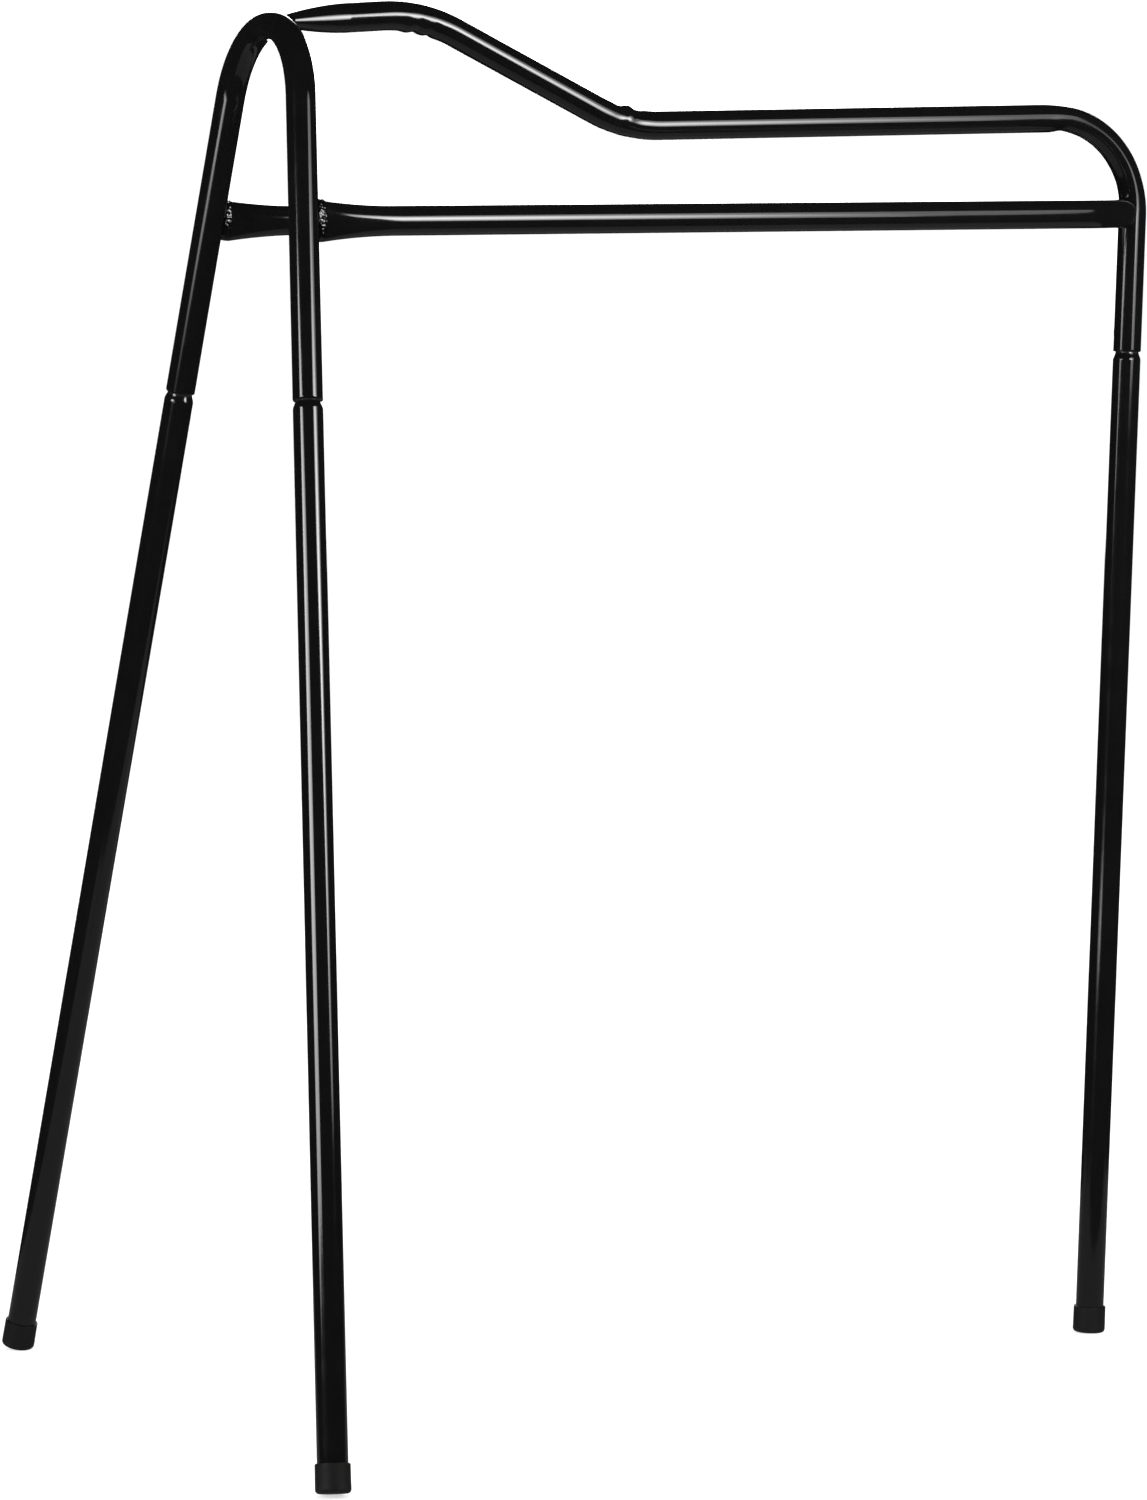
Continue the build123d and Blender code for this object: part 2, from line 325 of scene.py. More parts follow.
@dataclass
class Spine:
    """A tube's centre line: straight runs joined by tangent arcs, all in one plane.

    Attributes:
        corners: The runs' corners, one row each.
        radii: Bend radius at each inner corner.
        flat: Unit normal of the plane. A section's first axis is tangent x flat, its second is flat.
    """

    corners: Array
    radii: Sequence[float]
    flat: Array
    starts: Array = field(init=False)
    ways: Array = field(init=False)
    turns: Array = field(init=False)
    bends: Array = field(init=False)
    ends: Array = field(init=False)

    def __post_init__(self) -> None:
        """Cut each corner back by radius * tan(half its turn) and lay out runs and arcs."""
        legs = np.diff(self.corners, axis=0)
        sizes = np.linalg.norm(legs, axis=1)
        ways = legs / sizes[:, None]
        half = np.arccos(np.clip(np.sum(ways[:-1] * ways[1:], axis=1), -1, 1)) / 2
        cut = np.asarray(self.radii) * np.tan(half)
        before, after = np.append(0.0, cut), np.append(cut, 0.0)
        rows, count = [], len(sizes)
        for i in range(count):
            start = self.corners[i] + ways[i] * before[i]
            rows.append((start, ways[i], ways[i] * 0, 0.0, sizes[i] - before[i] - after[i]))
            if i + 1 < count:
                turn = unit(ways[i + 1] - ways[i] * (ways[i] @ ways[i + 1]))
                arc = 2 * half[i] * self.radii[i]
                bend_start = self.corners[i + 1] - ways[i] * cut[i]
                rows.append((bend_start, ways[i], turn, 1 / self.radii[i], arc))
        self.starts = np.array([r[0] for r in rows])
        self.ways = np.array([r[1] for r in rows])
        self.turns = np.array([r[2] for r in rows])
        self.bends = np.array([r[3] for r in rows])
        self.ends = np.cumsum([r[4] for r in rows])

    @property
    def length(self) -> float:
        """Length of the whole centre line."""
        return float(self.ends[-1])

    def arc(self, number: int) -> tuple[float, float]:
        """Stations where a bend begins and ends, with the bends counted from 0."""
        return float(self.ends[2 * number]), float(self.ends[2 * number + 1])

    def at(self, s: Array) -> tuple[Array, Array, Array]:
        """Points and section axes at stations along the line.

        Formula: on a run, start + ds * way. On an arc of curvature k, start + way * sin(k ds) / k
        + turn * (1 - cos(k ds)) / k, and the tangent turns by k ds.

        Args:
            s: Stations. Those outside the line run straight on.

        Returns:
            Points, first section axis (tangent x flat) and tangent, one row a station.
        """
        i = np.clip(np.searchsorted(self.ends, s, side="left"), 0, len(self.ends) - 1)
        ds = (s - np.append(0.0, self.ends[:-1])[i])[:, None]
        k = np.maximum(self.bends[i], 1e-9)[:, None]
        way, turn = self.ways[i], self.turns[i]
        point = self.starts[i] + way * np.sin(k * ds) / k + turn * (1 - np.cos(k * ds)) / k
        tangent = way * np.cos(k * ds) + turn * np.sin(k * ds)
        return point, np.cross(tangent, self.flat), tangent


class BentTube:
    """A tube's shell: its outer skin, its bore and the rims between them, as one closed grid."""

    sizes: StandSizes
    spine: Spine
    around: int = 80
    rims: tuple[RimCut, RimCut] = (RimCut.SAWN, RimCut.SAWN)
    dimple_height: float = 12.8
    dimple_depth: float = 0.8
    dimple_ball_r: float = 6.0

    def stations(self) -> Array:
        """Stations of the outer skin, closer together where the tube bends."""
        spots = [spaced(0.0, self.spine.length, 12.0)]
        for number in range(len(self.spine.radii)):
            begin, end = self.spine.arc(number)
            spots.append(spaced(begin - 4.0, end + 4.0, 1.6))
        return np.concatenate(spots)

    def section(self, s: Array) -> tuple[Array, Array, Array]:
        """Half sizes along the section's two axes, and the power of its outline (2 is an ellipse)."""
        radius = np.full_like(s, self.sizes.tube_r)
        return radius, radius, np.full_like(s, 2.0)

    def relief(self, s: Array, theta: Array) -> Array:
        """How far the wall stands out from the plain section, by station and angle."""
        return np.zeros_like(s * theta)

    def fit(self, points: Array, depth: Array) -> Array:
        """Cope the shell round its neighbours."""
        return points

    def dimple(self, to_rim: Array, turn: Array) -> Array:
        """The shallow print of a pressing ball behind a socket's rim.

        Formula: the print is depth - run^2 / (2 * ball radius) deep, where run is the distance from
        its middle, and log(1 + exp(k x)) / k ends it softly at 0.

        Args:
            to_rim: Distance to the rim.
            turn: Angle round the tube from the dimple's middle.

        Returns:
            The wall's offset, 0 or less.
        """
        run = (to_rim - self.dimple_height) ** 2 + (self.sizes.tube_r * turn) ** 2
        print_depth = self.dimple_depth - run / (2 * self.dimple_ball_r)
        return -np.logaddexp(0.0, print_depth * PRINT_SHARPNESS) / PRINT_SHARPNESS

    def socket_wear(self, points: Array, rims: Array) -> Array:
        """Wear just inside and on the sockets' rims, where the legs are pushed in."""
        gap = np.linalg.norm(points[..., None, :] - rims, axis=-1).min(axis=-1)
        return SOCKET_WEAR * ease((self.sizes.tube_r - 0.9 - gap) / 1.2)

    def rub(self, points: Array) -> Array:
        """Share of the coat worn by handling, from 0 to 1."""
        return np.zeros(points.shape[:-1])

    def piece(self, name: str, node: str) -> "Piece":
        """The tube's piece, in the place of a CAD node."""
        grid = self.shell()
        return Piece(name, node, "frame", Slot.FRAME_COAT, grid, marks={"rub": self.rub(grid)})

    def shell(self) -> Array:
        """Grid of the closed shell.

        Formula: point = centre(s) + (a - depth) * cos'(theta) * axis1 + (b - depth) * sin'(theta) *
        axis2, where cos' is sign(cos) |cos|^(2/power) and likewise sin', then moved along the
        section's direction by the relief. Depth is 0 on the skin and the wall in the bore, and
        follows a quarter circle round each rim.

        Returns:
            Rings of points: along the skin, round the end's rim, back along the bore, round the
            first rim.
        """
        wall, length = self.sizes.tube_wall, self.spine.length
        turn = np.linspace(0.0, math.pi / 2, 7)
        run = np.unique(np.round(self.stations(), 4))
        ring_s, ring_d = [], []
        for end, cut in zip((0.0, length), self.rims):
            outer, inner = cut.value
            sign = 1.0 if end == 0.0 else -1.0
            ring_s.append(
                np.concatenate(
                    [end + sign * inner * (1 - np.sin(turn)), end + sign * outer * (1 - np.cos(turn))]
                )
            )
            ring_d.append(
                np.concatenate([wall - inner * (1 - np.cos(turn)), outer * (1 - np.sin(turn))])
            )
        first, last = self.rims[0].value[0], self.rims[1].value[0]
        skin = run[(run > first + 0.05) & (run < length - last - 0.05)]
        bore = skin[::-2]
        s = np.concatenate([skin, ring_s[1][::-1], bore, ring_s[0]])
        depth = np.concatenate([skin * 0, ring_d[1][::-1], bore * 0 + wall, ring_d[0]])
        centre, axis1, _ = self.spine.at(s)
        a, b, power = self.section(s)
        theta = np.linspace(0.0, 2 * math.pi, self.around, endpoint=False)
        c, q = np.cos(theta)[None, :], np.sin(theta)[None, :]
        index = (2.0 / power)[:, None]
        along1 = (a - depth)[:, None] * np.sign(c) * np.abs(c) ** index
        along2 = (b - depth)[:, None] * np.sign(q) * np.abs(q) ** index
        flat = self.spine.flat[None, None, :]
        plain = centre[:, None, :] + along1[..., None] * axis1[:, None, :] + along2[..., None] * flat
        outward = c[..., None] * axis1[:, None, :] + q[..., None] * flat
        bump = self.relief(s[:, None], theta[None, :])
        return self.fit(plain + outward * bump[..., None], depth)


def shell_faces(rings: int, around: int, closed: bool) -> Array:
    """Corner numbers of a grid's quads, wound so that the normals point out.

    Args:
        rings: Rings of points.
        around: Points in each ring. A ring always closes on itself.
        closed: Whether the last ring joins the first.

    Returns:
        Four corner numbers a row.
    """
    i = np.arange(rings if closed else rings - 1)[:, None]
    j = np.arange(around)[None, :]
    i2, j2 = (i + 1) % rings, (j + 1) % around
    corners = [i * around + j, i2 * around + j, i2 * around + j2, i * around + j2]
    return np.stack(corners, axis=-1).reshape(-1, 4)


def pole_faces(rings: int, around: int) -> Array:
    """Triangles that close a grid's two open ends on the pole points after the grid."""
    j = np.arange(around)
    j2, last = (j + 1) % around, (rings - 1) * around
    start, end = np.full(around, rings * around), np.full(around, rings * around + 1)
    return np.concatenate([np.stack([start, j, j2], 1), np.stack([end, last + j2, last + j], 1)])


@dataclass
class Piece:
    """One visible piece: its surface, and the node, body and slot that it stands for."""

    name: str
    node: str
    body: str
    slot: Slot
    grid: Array
    closed: bool = True
    marks: dict[str, Array] = field(default_factory=dict)

    def put(self, material: bpy.types.Material) -> bpy.types.Object:
        """Make the mesh, at the origin, and hand it to the frame.

        Args:
            material: The piece's finish.

        Returns:
            The new object.
        """
        rings, around, _ = self.grid.shape
        points = self.grid.reshape(-1, 3)
        quads, ends = shell_faces(rings, around, self.closed), np.zeros((0, 3), int)
        marks = {name: value.reshape(-1) for name, value in self.marks.items()}
        if not self.closed:
            points = np.concatenate([points, self.grid[[0, -1]].mean(axis=1)])
            marks = {n: np.concatenate([v, [v[0], v[-1]]]) for n, v in marks.items()}
            ends = pole_faces(rings, around)
        mesh = bpy.data.meshes.new(self.name)
        mesh.vertices.add(len(points))
        mesh.vertices.foreach_set("co", (points * MM).astype(np.float32).ravel())
        mesh.loops.add(quads.size + ends.size)
        order = np.concatenate([quads.ravel(), ends.ravel()])
        mesh.loops.foreach_set("vertex_index", order.astype(np.int32))
        sizes = np.concatenate([np.full(len(quads), 4), np.full(len(ends), 3)])
        mesh.polygons.add(len(sizes))
        mesh.polygons.foreach_set("loop_start", (np.cumsum(sizes) - sizes).astype(np.int32))
        mesh.polygons.foreach_set("use_smooth", np.ones(len(sizes), bool))
        for name, value in marks.items():
            mark = mesh.attributes.new(name, "FLOAT", "POINT")
            mark.data.foreach_set("value", value.astype(np.float32))
        mesh.update(calc_edges=True)
        mesh.validate()
        mesh.materials.append(material)
        piece = bpy.data.objects.new(self.name, mesh)
        bpy.context.scene.collection.objects.link(piece)
        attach(piece, self.body)
        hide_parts(self.node)
        count = (len(points), len(sizes))
        LOG.info("%s: %d points, %d faces, for %s on %s", self.name, *count, self.node, self.body)
        return piece


# ---------------------------------------------------------------- finishes


def linear(colour: str) -> tuple[float, float, float, float]:
    """Turn an sRGB hex colour to linear light, with an alpha of 1."""
    parts = np.array([int(colour[i : i + 2], 16) for i in (1, 3, 5)]) / 255
    light = np.where(parts <= 0.04045, parts / 12.92, ((parts + 0.055) / 1.055) ** 2.4)
    return (float(light[0]), float(light[1]), float(light[2]), 1.0)


def add_node(
    tree: bpy.types.NodeTree,
    kind: str,
    settings: dict[str, Any] | None = None,
    values: dict[str | int, Any] | None = None,
    links: dict[str | int, bpy.types.NodeSocket] | None = None,
) -> bpy.types.Node:
    """Add a node with its settings, input values and links.

    Args:
        tree: The node tree.
        kind: The node's type name.
        settings: The node's own properties.
        values: Input values, by socket name or number.
        links: Output sockets to join, by input name or number.

    Returns:
        The new node.
    """
    made = tree.nodes.new(kind)
    for name, value in (settings or {}).items():
        setattr(made, name, value)
    for name, value in (values or {}).items():
        made.inputs[name].default_value = value
    for name, socket in (links or {}).items():
        tree.links.new(socket, made.inputs[name])
    return made


def new_material(name: str) -> bpy.types.Material:
    """An empty node material."""
    made = bpy.data.materials.new(name)
    made.use_nodes = True
    made.node_tree.nodes.clear()
    return made


class Finish:
    """A finish: one shader, fed by patterns on the piece's own coordinates."""

    name: str

    def material(self) -> bpy.types.Material:
        """Build the node material."""
        made = new_material(self.name)
        tree = made.node_tree
        place = add_node(tree, "ShaderNodeTexCoord").outputs["Object"]
        add_node(tree, "ShaderNodeOutputMaterial", links={"Surface": self.shader(tree, place)})
        return made

    def shader(self, tree: bpy.types.NodeTree, place: bpy.types.NodeSocket) -> bpy.types.NodeSocket:
        """Lay out the finish's nodes.

        Args:
            tree: The material's node tree.
            place: Place on the piece, in metres.

        Returns:
            The finished shader's output.
        """
        raise NotImplementedError


@dataclass(frozen=True)
class PowderCoat(Finish):
    """Gloss black polyester powder coat, sprayed on steel tube and baked.

    It gives the eye a deep black with crisp, bright reflections that waver slightly, because the
    melted powder sets with a fine orange peel of 1 to 3 mm. Where legs slide in their sockets the
    gloss is rubbed down to a grey satin with fine lengthwise scratches.
    """

    name: str = "gloss_black_powder_coat"
    colour: str = "#090909"
    thin_colour: str = "#0e0e0f"
    rubbed_colour: str = "#4a4a4c"
    peel_mm: float = 1.8
    peel_depth_mm: float = 0.0045
    flow_mm: float = 16.0
    nib_mm: float = 0.9
    scratch_mm: float = 0.45
    gloss: tuple[float, float] = (0.07, 0.11)
    rubbed_roughness: float = 0.34

    def shader(self, tree: bpy.types.NodeTree, place: bpy.types.NodeSocket) -> bpy.types.NodeSocket:
        """The coat: drifting gloss, orange peel and nibs, and satin where it is rubbed."""
        rub = add_node(tree, "ShaderNodeAttribute", {"attribute_name": "rub"}).outputs["Fac"]
        # Film thickness drifts along the tube, so colour and gloss drift with it.
        flow = add_node(
            tree, "ShaderNodeTexNoise",
            values={"Scale": 1000 / self.flow_mm, "Detail": 3.0, "Roughness": 0.55},
            links={"Vector": place},
        ).outputs["Fac"]
        coat = add_node(
            tree, "ShaderNodeMix", {"data_type": "RGBA"},
            {6: linear(self.colour), 7: linear(self.thin_colour)}, {0: flow},
        ).outputs[2]
        # Scratches lie along the legs, which stand nearly upright.
        stretched = add_node(
            tree, "ShaderNodeMapping", {"vector_type": "POINT"},
            {"Scale": (1000 / self.scratch_mm, 1000 / self.scratch_mm, 1000 / (self.scratch_mm * 26))},
            {"Vector": place},
        ).outputs["Vector"]
        scratch = add_node(
            tree, "ShaderNodeTexNoise", values={"Scale": 1.0, "Detail": 2.0, "Roughness": 0.6},
            links={"Vector": stretched},
        ).outputs["Fac"]
        worn = add_node(
            tree, "ShaderNodeMapRange",
            values={"From Min": 0.35, "From Max": 0.62, "To Min": 0.25, "To Max": 1.0},
            links={"Value": scratch},
        ).outputs["Result"]
        wear = add_node(tree, "ShaderNodeMath", {"operation": "MULTIPLY"}, links={0: rub, 1: worn}).outputs[0]
        colour = add_node(
            tree, "ShaderNodeMix", {"data_type": "RGBA"}, {7: linear(self.rubbed_colour)}, {0: wear, 6: coat}
        ).outputs[2]
        gloss = add_node(
            tree, "ShaderNodeMapRange",
            values={"From Min": 0.3, "From Max": 0.7, "To Min": self.gloss[0], "To Max": self.gloss[1]},
            links={"Value": flow},
        ).outputs["Result"]
        roughness = add_node(
            tree, "ShaderNodeMix", {"data_type": "FLOAT"}, {3: self.rubbed_roughness}, {0: wear, 2: gloss}
        ).outputs[0]
        # Orange peel, and rare dust nibs that stand out of the film.
        peel = add_node(
            tree, "ShaderNodeTexNoise",
            values={"Scale": 1000 / self.peel_mm, "Detail": 1.0, "Roughness": 0.4},
            links={"Vector": place},
        ).outputs["Fac"]
        skin = add_node(
            tree, "ShaderNodeBump", values={"Strength": 1.0, "Distance": self.peel_depth_mm * MM},
            links={"Height": peel},
        ).outputs["Normal"]
        cells = add_node(
            tree, "ShaderNodeTexVoronoi", values={"Scale": 1000 / (self.nib_mm * 9), "Randomness": 1.0},
            links={"Vector": place},
        ).outputs["Distance"]
        nibs = add_node(
            tree, "ShaderNodeMapRange", {"interpolation_type": "SMOOTHSTEP"},
            {"From Min": 0.0, "From Max": 0.055, "To Min": 1.0, "To Max": 0.0}, {"Value": cells},
        ).outputs["Result"]
        normal = add_node(
            tree, "ShaderNodeBump", values={"Strength": 0.5, "Distance": 0.03 * MM},
            links={"Height": nibs, "Normal": skin},
        ).outputs["Normal"]
        return add_node(
            tree, "ShaderNodeBsdfPrincipled", values={"Metallic": 0.0, "IOR": 1.5},
            links={"Base Color": colour, "Roughness": roughness, "Normal": normal},
        ).outputs["BSDF"]


@dataclass(frozen=True)
class CoatedWeld(Finish):
    """Wire-fed weld bead under the same black powder coat.

    It gives the eye sharp scattered glints: the bead freezes in ripples about 2 mm apart and in
    beads of spatter, and the powder film follows them and pulls thin on their crests.
    """

    name: str = "powder_coated_weld_bead"
    colour: str = "#050505"
    crest_colour: str = "#0e0e0f"
    ripple_mm: float = 2.4
    ripple_depth_mm: float = 0.2
    spatter_mm: float = 2.0
    spatter_depth_mm: float = 0.4
    gloss: tuple[float, float] = (0.06, 0.16)

    def shader(self, tree: bpy.types.NodeTree, place: bpy.types.NodeSocket) -> bpy.types.NodeSocket:
        """The bead: glossy film over ripples and spatter."""
        crest = add_node(tree, "ShaderNodeAttribute", {"attribute_name": "crest"}).outputs["Fac"]
        grain = add_node(
            tree, "ShaderNodeTexNoise",
            values={"Scale": 1000 / self.ripple_mm, "Detail": 3.0, "Roughness": 0.6},
            links={"Vector": place},
        ).outputs["Fac"]
        balls = add_node(
            tree, "ShaderNodeTexVoronoi", {"feature": "SMOOTH_F1"},
            {"Scale": 1000 / self.spatter_mm, "Smoothness": 0.35}, {"Vector": place},
        ).outputs["Distance"]
        colour = add_node(
            tree, "ShaderNodeMix", {"data_type": "RGBA"},
            {6: linear(self.colour), 7: linear(self.crest_colour)}, {0: crest},
        ).outputs[2]
        roughness = add_node(
            tree, "ShaderNodeMapRange",
            values={"From Min": 0.3, "From Max": 0.7, "To Min": self.gloss[0], "To Max": self.gloss[1]},
            links={"Value": grain},
        ).outputs["Result"]
        rippled = add_node(
            tree, "ShaderNodeBump", values={"Strength": 0.8, "Distance": self.ripple_depth_mm * MM},
            links={"Height": grain},
        ).outputs["Normal"]
        normal = add_node(
            tree, "ShaderNodeBump",
            {"invert": True}, {"Strength": 0.7, "Distance": self.spatter_depth_mm * MM},
            {"Height": balls, "Normal": rippled},
        ).outputs["Normal"]
        return add_node(
            tree, "ShaderNodeBsdfPrincipled", values={"Metallic": 0.0, "IOR": 1.5},
            links={"Base Color": colour, "Roughness": roughness, "Normal": normal},
        ).outputs["BSDF"]


@dataclass(frozen=True)
class MouldedRubber(Finish):
    """Black vinyl-like rubber cap, dip moulded.

    It gives the eye a soft charcoal with no clear reflections, finely grained, with paler scuffs
    and floor dust round the bottom edge.
    """

    name: str = "moulded_black_rubber"
    colour: str = "#090908"
    bloom_colour: str = "#101010"
    dust_colour: str = "#1d1c1b"
    grain_mm: float = 0.5
    grain_depth_mm: float = 0.02
    bloom_mm: float = 7.0
    roughness: tuple[float, float] = (0.5, 0.68)

    def shader(self, tree: bpy.types.NodeTree, place: bpy.types.NodeSocket) -> bpy.types.NodeSocket:
        """The rubber: grain, bloom, and dust round the sole."""
        sole = add_node(tree, "ShaderNodeAttribute", {"attribute_name": "sole"}).outputs["Fac"]
        bloom = add_node(
            tree, "ShaderNodeTexNoise",
            values={"Scale": 1000 / self.bloom_mm, "Detail": 4.0, "Roughness": 0.6},
            links={"Vector": place},
        ).outputs["Fac"]
        grain = add_node(
            tree, "ShaderNodeTexNoise",
            values={"Scale": 1000 / self.grain_mm, "Detail": 2.0, "Roughness": 0.5},
            links={"Vector": place},
        ).outputs["Fac"]
        body = add_node(
            tree, "ShaderNodeMix", {"data_type": "RGBA"},
            {6: linear(self.colour), 7: linear(self.bloom_colour)}, {0: bloom},
        ).outputs[2]
        patchy = add_node(
            tree, "ShaderNodeMapRange",
            values={"From Min": 0.42, "From Max": 0.66, "To Min": 0.0, "To Max": 0.9},
            links={"Value": bloom},
        ).outputs["Result"]
        dust = add_node(
            tree, "ShaderNodeMath", {"operation": "MULTIPLY"}, links={0: sole, 1: patchy}
        ).outputs[0]
        colour = add_node(
            tree, "ShaderNodeMix", {"data_type": "RGBA"}, {7: linear(self.dust_colour)}, {0: dust, 6: body}
        ).outputs[2]
        roughness = add_node(
            tree, "ShaderNodeMapRange",
            values={"From Min": 0.3, "From Max": 0.7, "To Min": self.roughness[0], "To Max": self.roughness[1]},
            links={"Value": bloom},
        ).outputs["Result"]
        normal = add_node(
            tree, "ShaderNodeBump", values={"Strength": 0.6, "Distance": self.grain_depth_mm * MM},
            links={"Height": grain},
        ).outputs["Normal"]
        return add_node(
            tree, "ShaderNodeBsdfPrincipled",
            values={"Metallic": 0.0, "IOR": 1.52, "Specular IOR Level": 0.25},
            links={"Base Color": colour, "Roughness": roughness, "Normal": normal},
        ).outputs["BSDF"]


@dataclass(frozen=True)
class Finishes:
    """The stand's finishes, made once and shared by its pieces."""

    frame_coat: bpy.types.Material
    leg_coat: bpy.types.Material
    weld: bpy.types.Material
    rubber: bpy.types.Material

    @classmethod
    def mixed(cls) -> "Finishes":
        """Mix every finish."""
        return cls(
            PowderCoat().material(),
            PowderCoat(name="gloss_black_powder_coat_legs").material(),
            CoatedWeld().material(),
            MouldedRubber().material(),
        )

    def for_slot(self, slot: Slot) -> bpy.types.Material:
        """The finish of a material slot."""
        return {
            Slot.FRAME_COAT: self.frame_coat,
            Slot.LEG_COAT: self.leg_coat,
            Slot.WELD: self.weld,
            Slot.CAP: self.rubber,
        }[slot]


# ---------------------------------------------------------------- sub-assemblies


@dataclass
class FrontHoop(BentTube):
    """The front hoop: one tube bent to an inverted V, with a rolled socket at each end."""

    sizes: StandSizes
    crown_flattening: float = 0.055
    spine: Spine = field(init=False)
    rims: tuple[RimCut, RimCut] = (RimCut.ROLLED, RimCut.ROLLED)

    def __post_init__(self) -> None:
        """Lay the centre line from the left rim over the crown to the right rim."""
        z, a = self.sizes, math.radians(self.sizes.hoop_splay)
        half = z.hoop_half_width + z.hoop_drop * math.sin(a)
        fall = -z.hoop_drop * math.cos(a)
        flat = [(-half, fall), (0.0, z.hoop_half_width / math.tan(a)), (half, fall)]
        corners = np.array([z.hoop_origin + ACROSS * y + z.hoop_up * h for y, h in flat])
        self.spine = Spine(corners, [z.hoop_bend_radius], -z.hoop_rearward)

    def stations(self) -> Array:
        """Stations, closer together at the rims, dimples and crown."""
        end = self.spine.length
        near = spaced(0.0, 20.0, 0.5)
        return np.concatenate([super().stations(), near, end - near])

    def section(self, s: Array) -> tuple[Array, Array, Array]:
        """Section, pressed slightly flat through the bend as a mandrel-less bender leaves it."""
        begin, end = self.spine.arc(0)
        bent = ease((s - begin) / 26.0 + 0.3) * ease((end - s) / 26.0 + 0.3)
        r, flat = self.sizes.tube_r, self.crown_flattening * bent
        return r * (1 - flat), r * (1 + 0.35 * flat), 2.0 + 0 * s

    def relief(self, s: Array, theta: Array) -> Array:
        """A dimple behind each rim, on the side towards the post."""
        to_rim = np.minimum(s, self.spine.length - s)
        return self.dimple(to_rim, np.arctan2(np.cos(theta), -np.sin(theta)))

    def rub(self, points: Array) -> Array:
        """Wear in both sockets."""
        return self.socket_wear(points, self.spine.corners[[0, -1]])

    def crown_centres(self, points: Array) -> Array:
        """Nearest points of the crown's centre line: the bend's centre + radius * direction."""
        z = self.sizes
        hub = z.hoop_origin + z.hoop_up * z.hoop_arc_rise
        away = points - hub
        away = away - (away @ z.hoop_rearward)[..., None] * z.hoop_rearward
        return hub + z.hoop_bend_radius * away / np.linalg.norm(away, axis=-1, keepdims=True)

    def leg_line(self, side: Side) -> tuple[Array, Array]:
        """A point on a hoop leg's axis, level with the side rail, and its upward direction."""
        z = self.sizes
        return z.hoop_origin + ACROSS * side.value * z.hoop_half_width, z.hoop_leg_up(side)


@dataclass
class TopRail(BentTube):
    """The top rail: pressed bill, fork, saddle length, rear bend and post in one tube."""

    sizes: StandSizes
    hoop: FrontHoop
    bill_reach: float = 42.0
    bill_bury: float = 4.0
    bill_half_width: float = 13.5
    bill_half_height: float = 3.25
    bill_blank: float = 48.0
    rear_flattening: float = 0.10
    fork_wrinkles: tuple[Triple, ...] = (
        (0.75, -9.5, 3.6),
        (-0.5, -3.5, 2.2),
        (0.6, 2.5, 3.2),
        (-0.45, 7.8, 2.2),
        (0.3, 13.0, 3.0),
    )
    saddle_kink: tuple[Triple, ...] = ((1.25, -1.5, 3.6), (-0.55, -9.5, 4.5), (-0.5, 7.0, 4.5))
    rear_step: tuple[Triple, ...] = ((-0.35, 7.0, 6.0), (0.2, -3.0, 4.0))
    spine: Spine = field(init=False)
    rims: tuple[RimCut, RimCut] = (RimCut.SAWN, RimCut.ROLLED)

    def __post_init__(self) -> None:
        """Lay the centre line from the bill's tip to the post's rim."""
        z = self.sizes
        corners = np.array([z.middle(x, h) for x, h in z.side_corners])
        corners[0] -= unit(corners[1] - corners[0]) * self.bill_bury
        bends = [z.saddle_bend_radius, z.saddle_bend_radius, z.rear_bend_radius]
        self.spine = Spine(corners, bends, ACROSS)

    def stations(self) -> Array:
        """Stations, closer together on the bill, the wrinkles, the kink and the socket."""
        fork, saddle = np.mean(self.spine.arc(0)), np.mean(self.spine.arc(1))
        end = self.spine.length
        joint = end - (self.sizes.rail_z - self.sizes.post_rim_z)
        near = (
            (0.0, 50.0, 1.0),
            (fork - 22, fork + 24, 0.6),
            (saddle - 16, saddle + 16, 0.5),
            (joint - 25, joint + 20, 0.9),
            (end - 20.0, end, 0.5),
        )
        return np.concatenate([super().stations(), *(spaced(*stretch) for stretch in near)])

    def section(self, s: Array) -> tuple[Array, Array, Array]:
        """Section: pressed flat at the bill, and slightly at the rear bend.

        Formula: with u running from 0 at the full tube to 1 at the blank's end, the half height is
        r - (r - pressed) * u^1.737 and the half width r + (pressed - r) * u^1.234.
        """
        r = self.sizes.tube_r
        u = np.clip((self.bill_reach + self.bill_bury - s) / self.bill_blank, 0.0, 1.0)
        begin, end = self.spine.arc(2)
        bent = ease((s - begin) / 18.0 + 0.5) * ease((end - s) / 30.0 + 0.2)
        height = r - (r - self.bill_half_height) * u**1.737 - r * self.rear_flattening * bent
        width = r + (self.bill_half_width - r) * u**1.234 + 0.3 * r * self.rear_flattening * bent
        return height, width, 2.0 + 0.5 * u

    def relief(self, s: Array, theta: Array) -> Array:
        """Wrinkles under the fork, the crush kink over the saddle bend, the rear bend's step, the dimple."""
        fork, saddle = np.mean(self.spine.arc(0)), np.mean(self.spine.arc(1))
        rear = self.spine.arc(2)[0]
        under, over = lobe(theta, math.pi, 0.62), lobe(theta, 0.0, 0.85)
        bump = under * ridges(s, fork, self.fork_wrinkles) + over * ridges(s, saddle, self.saddle_kink)
        bump += under * ridges(s, rear, self.rear_step)
        return bump + self.dimple(self.spine.length - s, np.arctan2(np.sin(theta), -np.cos(theta)))

    def fit(self, points: Array, depth: Array) -> Array:
        """Cope the bill's tip round the hoop's crown."""
        z = self.sizes
        near = points[..., 0] < z.hoop_x + z.bill_x + self.bill_bury
        coped = push_out(points, self.hoop.crown_centres(points), z.tube_r + SEAT)
        return np.where(near[..., None], coped, points)

    def rub(self, points: Array) -> Array:
        """Wear in the post's socket."""
        return self.socket_wear(points, self.spine.corners[[-1]])


